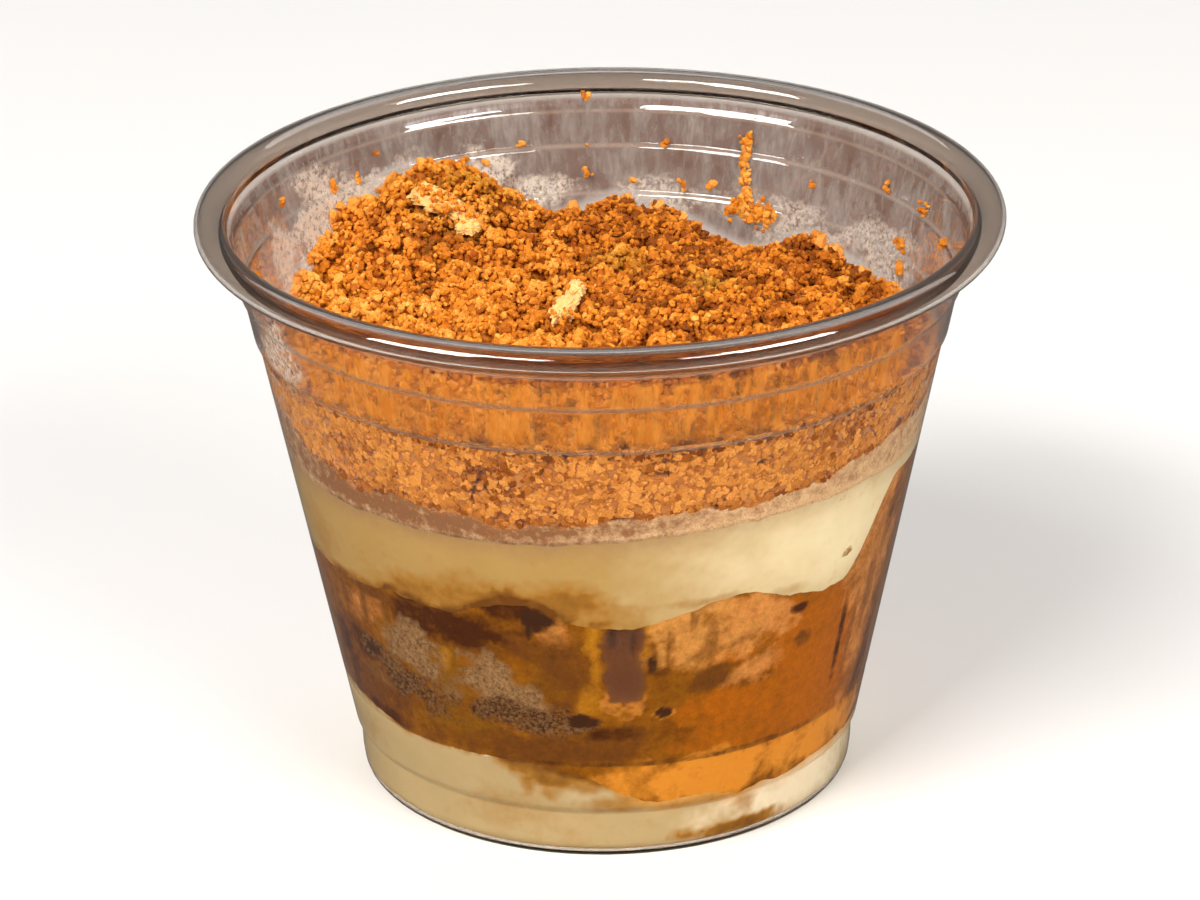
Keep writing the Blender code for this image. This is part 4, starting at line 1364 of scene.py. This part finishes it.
# Smeared cream and dust on the wall: degrees round it, height (mm), half width, half height, share.
FROST = (
    (-129, 56.6, 10.5, 5.6, 1.0), (-138, 58.5, 7, 3.0, 0.8), (-154, 56.4, 9, 3.8, 0.95),
    (-168, 55.4, 7, 2.2, 0.6), (-118, 53.5, 6, 3.0, 0.85), (-112, 57.2, 3.6, 3.4, 1.0),
    (-121, 58.4, 4.4, 2.6, 1.0), (-63, 58.8, 6.5, 4.2, 0.7), (172, 54.5, 10, 2.4, 0.45),
    (145, 53.8, 14, 3.0, 0.42), (122, 53.8, 12, 3.6, 0.48),
)
DUSTY = (
    (-110, 56.5, 6, 4.2, 0.6), (-100, 57, 8, 3, 0.35), (100, 57, 12, 3.0, 0.35), (60, 57, 9, 3.5, 0.4),
)
# Crumbs on and round the flakes: x, y, spreads (mm), how many.
OVER_FLAKES = (
    (-18.0, 21.8, 4.8, 2.0, 85), (-15.0, 20.4, 2.2, 2.4, 46), (-17.6, 19.6, 3.0, 1.0, 30),
    (-3.9, -8.0, 1.8, 2.0, 20), (-3.2, 0.6, 1.4, 2.0, 12),
)
# Cream flakes: x, y, height over the heap, half sizes (all in mm) and turn (degrees).
FRONT_FLAKES = (
    (-3.8, -3.2, 0.5, (1.15, 5.0, 0.8), -12),
    (-2.9, 0.8, 0.9, (0.95, 2.4, 0.8), -6),
    (-4.6, -6.0, 0.3, (1.3, 1.6, 0.8), 20),
)
MOUND_FLAKES = (
    (-18.4, 21.4, 0.35, (3.3, 1.3, 0.6), -22),
    (-15.4, 19.2, 0.2, (1.2, 1.9, 0.6), -30),
    (-20.8, 23.4, 0.2, (1.6, 0.8, 0.5), 12),
)
FLAKE_ROUGHNESS = 0.48
FILM_BOTTOM, FILM_TOP, FILM_ROWS = 47, 66.6, 92  # heights in mm
RING_HALF = 0.26  # of the painted reflection line along a moulded ring, in mm


class TIRAMISU_OT_smears(bpy.types.Operator):
    """Lay the cream flakes on the heap, and the crumbs, cream and film on the inside of the wall"""

    bl_idname = "tiramisu.smears"
    bl_label = "Cream flakes and wall marks"

    def flake(self, name, node, spots, material, fresh):
        """Flakes of cream fused as one piece. fresh: how little crumb is mixed into them."""
        parts = []
        for index, (x, y, lift, size, turn) in enumerate(spots):
            deselect()
            bpy.ops.mesh.primitive_ico_sphere_add(subdivisions=5, radius=1.0)
            part = bpy.context.object
            points = coordinates(part.data)
            broad = [noise.noise((*p[:2] * 1.9, p[2] + index * 9.1)) for p in points]
            fine = [noise.noise((*p * 5.3,)) for p in points]
            swell = 1 + FLAKE_ROUGHNESS * (np.array(broad) + 0.6 * np.array(fine))
            points = points * swell[:, None] * np.array(size) * MM
            angle = math.radians(turn)
            across = points[:, 0] * math.cos(angle) - points[:, 1] * math.sin(angle) + x * MM
            along = points[:, 0] * math.sin(angle) + points[:, 1] * math.cos(angle) + y * MM
            up = heap_top(across, along) + lift * MM + points[:, 2]
            set_coordinates(part.data, np.stack([across, along, up], axis=1))
            parts.append(part)
        deselect()
        for part in parts:
            part.select_set(True)
        bpy.context.view_layer.objects.active = parts[0]
        bpy.ops.object.join()
        piece = bpy.context.object
        piece.name = name
        store(piece.data, stain=0.0, pale=fresh, speck=0.0, dust=0.0)
        bpy.ops.object.shade_smooth()
        finish_piece(piece, material, "cream", node)

    def clinging(self, settings):
        """Single crumbs that cling to the wall above the heap, and crumbs that lie over the flakes."""
        rng = np.random.default_rng(SEED + 1)
        places, radii = [], []
        for az, z, count, spread in WALL_CRUMBS:
            for _ in range(count):
                height = (z + rng.normal(0, 0.5) * spread) * MM
                angle = math.radians(az) + rng.normal(0, 0.5) * spread * MM / float(inner_radius(height))
                size = settings.radius * rng.uniform(0.6, 1.35)
                radius = float(inner_radius(height)) - size * rng.uniform(0.2, 1.4)
                places.append(around(angle, radius, height))
                radii.append(size)
        for x, y, spread_x, spread_y, count in OVER_FLAKES:
            for _ in range(count):
                place_x = (x + rng.normal(0, 0.5) * spread_x) * MM
                place_y = (y + rng.normal(0, 0.5) * spread_y) * MM
                height = float(heap_top(place_x, place_y)) + rng.uniform(0.7, 1.5) * MM
                places.append((place_x, place_y, height))
                radii.append(settings.radius * rng.uniform(0.6, 1.1))
        tone = np.clip(rng.normal(0.6, 0.15, len(places)), 0, 1)
        piece = scatter("crumbs_on_wall", np.array(places), np.array(radii), rng, tone=tone)
        finish_piece(piece, crumb_material(settings, "clinging crumbs"), "biscuit_crumbs")

    def film(self, settings):
        """The thin film inside the wall, from under the heap's edge up to the flange."""
        heights = np.linspace(FILM_BOTTOM, FILM_TOP, FILM_ROWS) * MM
        profile = [(float(inner_radius(z)) + settings.depth, z) for z in heights]
        sheet = spun("wall_film", profile, AZIMUTH_STEPS)
        points = coordinates(sheet.data)
        wall = Wall(*points.T)
        wall.az = wall.turn  # the film isn't mirrored: each side has its own marks
        frost, dusty = np.zeros(len(points)), np.zeros(len(points))
        for az, z, half_az, half_z, share in FROST:
            frost = np.maximum(frost, wall.spot(az, z, half_az, half_z, share, 1.2, 0.0, 0.7))
        for az, z, half_az, half_z, share in DUSTY:
            dusty = np.maximum(dusty, wall.spot(az, z, half_az, half_z, share, 1.4, 0.0, 0.6, 1))
        heap = heap_top(points[:, 0] * 0.96, points[:, 1] * 0.96) / MM
        above = smooth_step(wall.z - heap, -0.6, 1.2) * (1 - smooth_step(wall.z, 66.0, FILM_TOP))
        # The haze is painted shade, mostly on the back wall, where it stands in for the dark room seen
        # through the plastic.
        back = 0.12 + 0.88 * smooth_step(np.abs(wall.turn), 55, 85)
        # Painted reflections: lines along the moulded rings and the flange.
        rings = [np.exp(-(((wall.z - rib / MM) / RING_HALF) ** 2)) for rib in (*RIB_HEIGHTS, FLANGE_HEIGHT)]
        streaked = smooth_step(wall.z, 54.5, 56.8) * (1 - smooth_step(wall.z, 63.0, 64.6))
        edge = np.abs(wall.turn - 1) + 3 * wall.ragged[2]
        store(
            sheet.data,
            ring=np.max(rings, axis=0) * (1 - 0.4 * smooth_step(np.abs(wall.turn), 60, 90)),
            haze=above * back,
            frost=frost,
            dusty=dusty,
            streaked=streaked * (1 - smooth_step(edge, 50, 62)),
        )
        bpy.ops.object.shade_smooth()
        finish_piece(sheet, film_material(settings), "clear_plastic")

    def execute(self, context):
        cream = context.scene.tiramisu_cream
        colours = (cream.mixed_colour, cream.flake_colour, cream.dust_colour)
        material = cream_material(cream, "cream flake", *colours)
        self.flake("cream_flake_front", "cream_dab_front", FRONT_FLAKES, material, 0.9)
        self.flake("cream_flake_mound", "cream_dab_mound", MOUND_FLAKES, material, 0.62)
        self.clinging(context.scene.tiramisu_crumb)
        self.film(context.scene.tiramisu_film)
        return {"FINISHED"}


# ==== Stage ====================

CUP_MIDDLE = (0, 0, 45 * MM)
AIM_RIGHT = -0.0005355814  # the camera looks this much to the side of its target, as a tangent
AIM_UP = -0.0056483784  # and this much over it
LAMP_SIZE = (0.50, 0.16)
GLINT_SIZE = (0.46, 0.28)


def area_lamp(name, place, target, size, power, colour=(1, 1, 1)):
    deselect()
    bpy.ops.object.light_add(type="AREA", location=place)
    lamp = bpy.context.object
    lamp.name = name
    lamp.data.shape = "RECTANGLE"
    lamp.data.size, lamp.data.size_y = size
    lamp.data.energy = power
    lamp.data.color = colour
    lamp.rotation_mode = "QUATERNION"
    lamp.rotation_quaternion = (Vector(target) - Vector(place)).to_track_quat("-Z", "Y")
    return lamp


class TIRAMISU_OT_stage(bpy.types.Operator):
    """Set the pale floor, the soft studio lamps and the camera"""

    bl_idname = "tiramisu.stage"
    bl_label = "Stage"

    def floor_and_room(self, scene, settings):
        deselect()
        bpy.ops.mesh.primitive_plane_add(size=8.0, location=(0, 0, -0.02 * MM))
        floor = bpy.context.object
        floor.name = "floor"
        floor.data.materials.append(floor_material(settings))
        floor.visible_glossy = False
        scene.world = bpy.data.worlds.new("studio")
        scene.world.use_nodes = True
        background = scene.world.node_tree.nodes["Background"]
        background.inputs["Color"].default_value = (*settings.world_colour, 1.0)
        background.inputs["Strength"].default_value = settings.world_strength

    def lamps(self, settings):
        right, left = (0.48, -0.53, 0.50), (-0.40, -0.51, 0.69)
        area_lamp("right", right, CUP_MIDDLE, LAMP_SIZE, settings.right_power, (1.0, 0.97, 0.93))
        area_lamp("left", left, CUP_MIDDLE, LAMP_SIZE, settings.left_power, (1.0, 0.98, 0.96))
        area_lamp("top", (0.10, 0.75, 1.05), (0, 0.3, 0), (1.4, 0.8), settings.top_power)
        for side in (-1, 1):
            place = (0.62 * side, -0.46, 0.56)
            glint = area_lamp("glint", place, CUP_MIDDLE, GLINT_SIZE, settings.glint_power)
            glint.visible_diffuse = False

    def camera(self, scene, settings):
        elevation = settings.camera_elevation
        back = Vector((0, -math.cos(elevation), math.sin(elevation)))
        up = Vector((0, math.sin(elevation), math.cos(elevation)))
        aim = Vector((1, 0, 0)) * AIM_RIGHT + up * AIM_UP - back
        target = Vector((0, 0, settings.camera_target))
        bpy.ops.object.camera_add(location=target + back * settings.camera_distance)
        camera = bpy.context.object
        camera.rotation_mode = "QUATERNION"
        roll = Quaternion((0, 0, 1), -settings.camera_roll)
        camera.rotation_quaternion = aim.to_track_quat("-Z", "Y") @ roll
        camera.data.lens = settings.camera_lens
        camera.data.sensor_width = 36
        camera.data.clip_start = 0.01
        scene.camera = camera

    def light_paths(self, scene):
        """Enough bounces for light to pass through the cup's two walls and the film."""
        scene.view_settings.view_transform = "Standard"
        scene.cycles.use_denoising = True
        scene.cycles.caustics_refractive = False
        scene.cycles.caustics_reflective = False
        scene.cycles.max_bounces = 24
        scene.cycles.transmission_bounces = 20
        scene.cycles.transparent_max_bounces = 32

    def execute(self, context):
        settings = context.scene.tiramisu_stage
        self.floor_and_room(context.scene, settings)
        self.lamps(settings)
        self.camera(context.scene, settings)
        self.light_paths(context.scene)
        return {"FINISHED"}


# ==== Panel and registration ====================

OPERATORS = (
    TIRAMISU_OT_stage,
    TIRAMISU_OT_cup,
    TIRAMISU_OT_cream,
    TIRAMISU_OT_biscuits,
    TIRAMISU_OT_crumbs,
    TIRAMISU_OT_smears,
)
SETTINGS = {
    "tiramisu_cup": CupSettings,
    "tiramisu_cream": CreamSettings,
    "tiramisu_biscuit": BiscuitSettings,
    "tiramisu_crumb": CrumbSettings,
    "tiramisu_film": FilmSettings,
    "tiramisu_stage": StageSettings,
}


class TIRAMISU_PT_panel(bpy.types.Panel):
    """Lists what builds the tiramisu"""

    bl_label = "Tiramisu"
    bl_idname = "TIRAMISU_PT_panel"
    bl_space_type = "VIEW_3D"
    bl_region_type = "UI"
    bl_category = "Tiramisu"

    def draw(self, context):
        for operator in OPERATORS:
            self.layout.operator(operator.bl_idname)


def register():
    for settings in SETTINGS.values():
        bpy.utils.register_class(settings)
    for name, settings in SETTINGS.items():
        setattr(bpy.types.Scene, name, PointerProperty(type=settings))
    for operator in OPERATORS:
        bpy.utils.register_class(operator)
    bpy.utils.register_class(TIRAMISU_PT_panel)


def unregister():
    bpy.utils.unregister_class(TIRAMISU_PT_panel)
    for operator in reversed(OPERATORS):
        bpy.utils.unregister_class(operator)
    for name, settings in reversed(SETTINGS.items()):
        delattr(bpy.types.Scene, name)
        bpy.utils.unregister_class(settings)


def main():
    register()
    for operator in OPERATORS:
        group, name = operator.bl_idname.split(".")
        getattr(getattr(bpy.ops, group), name)()


if __name__ == "__main__":
    main()
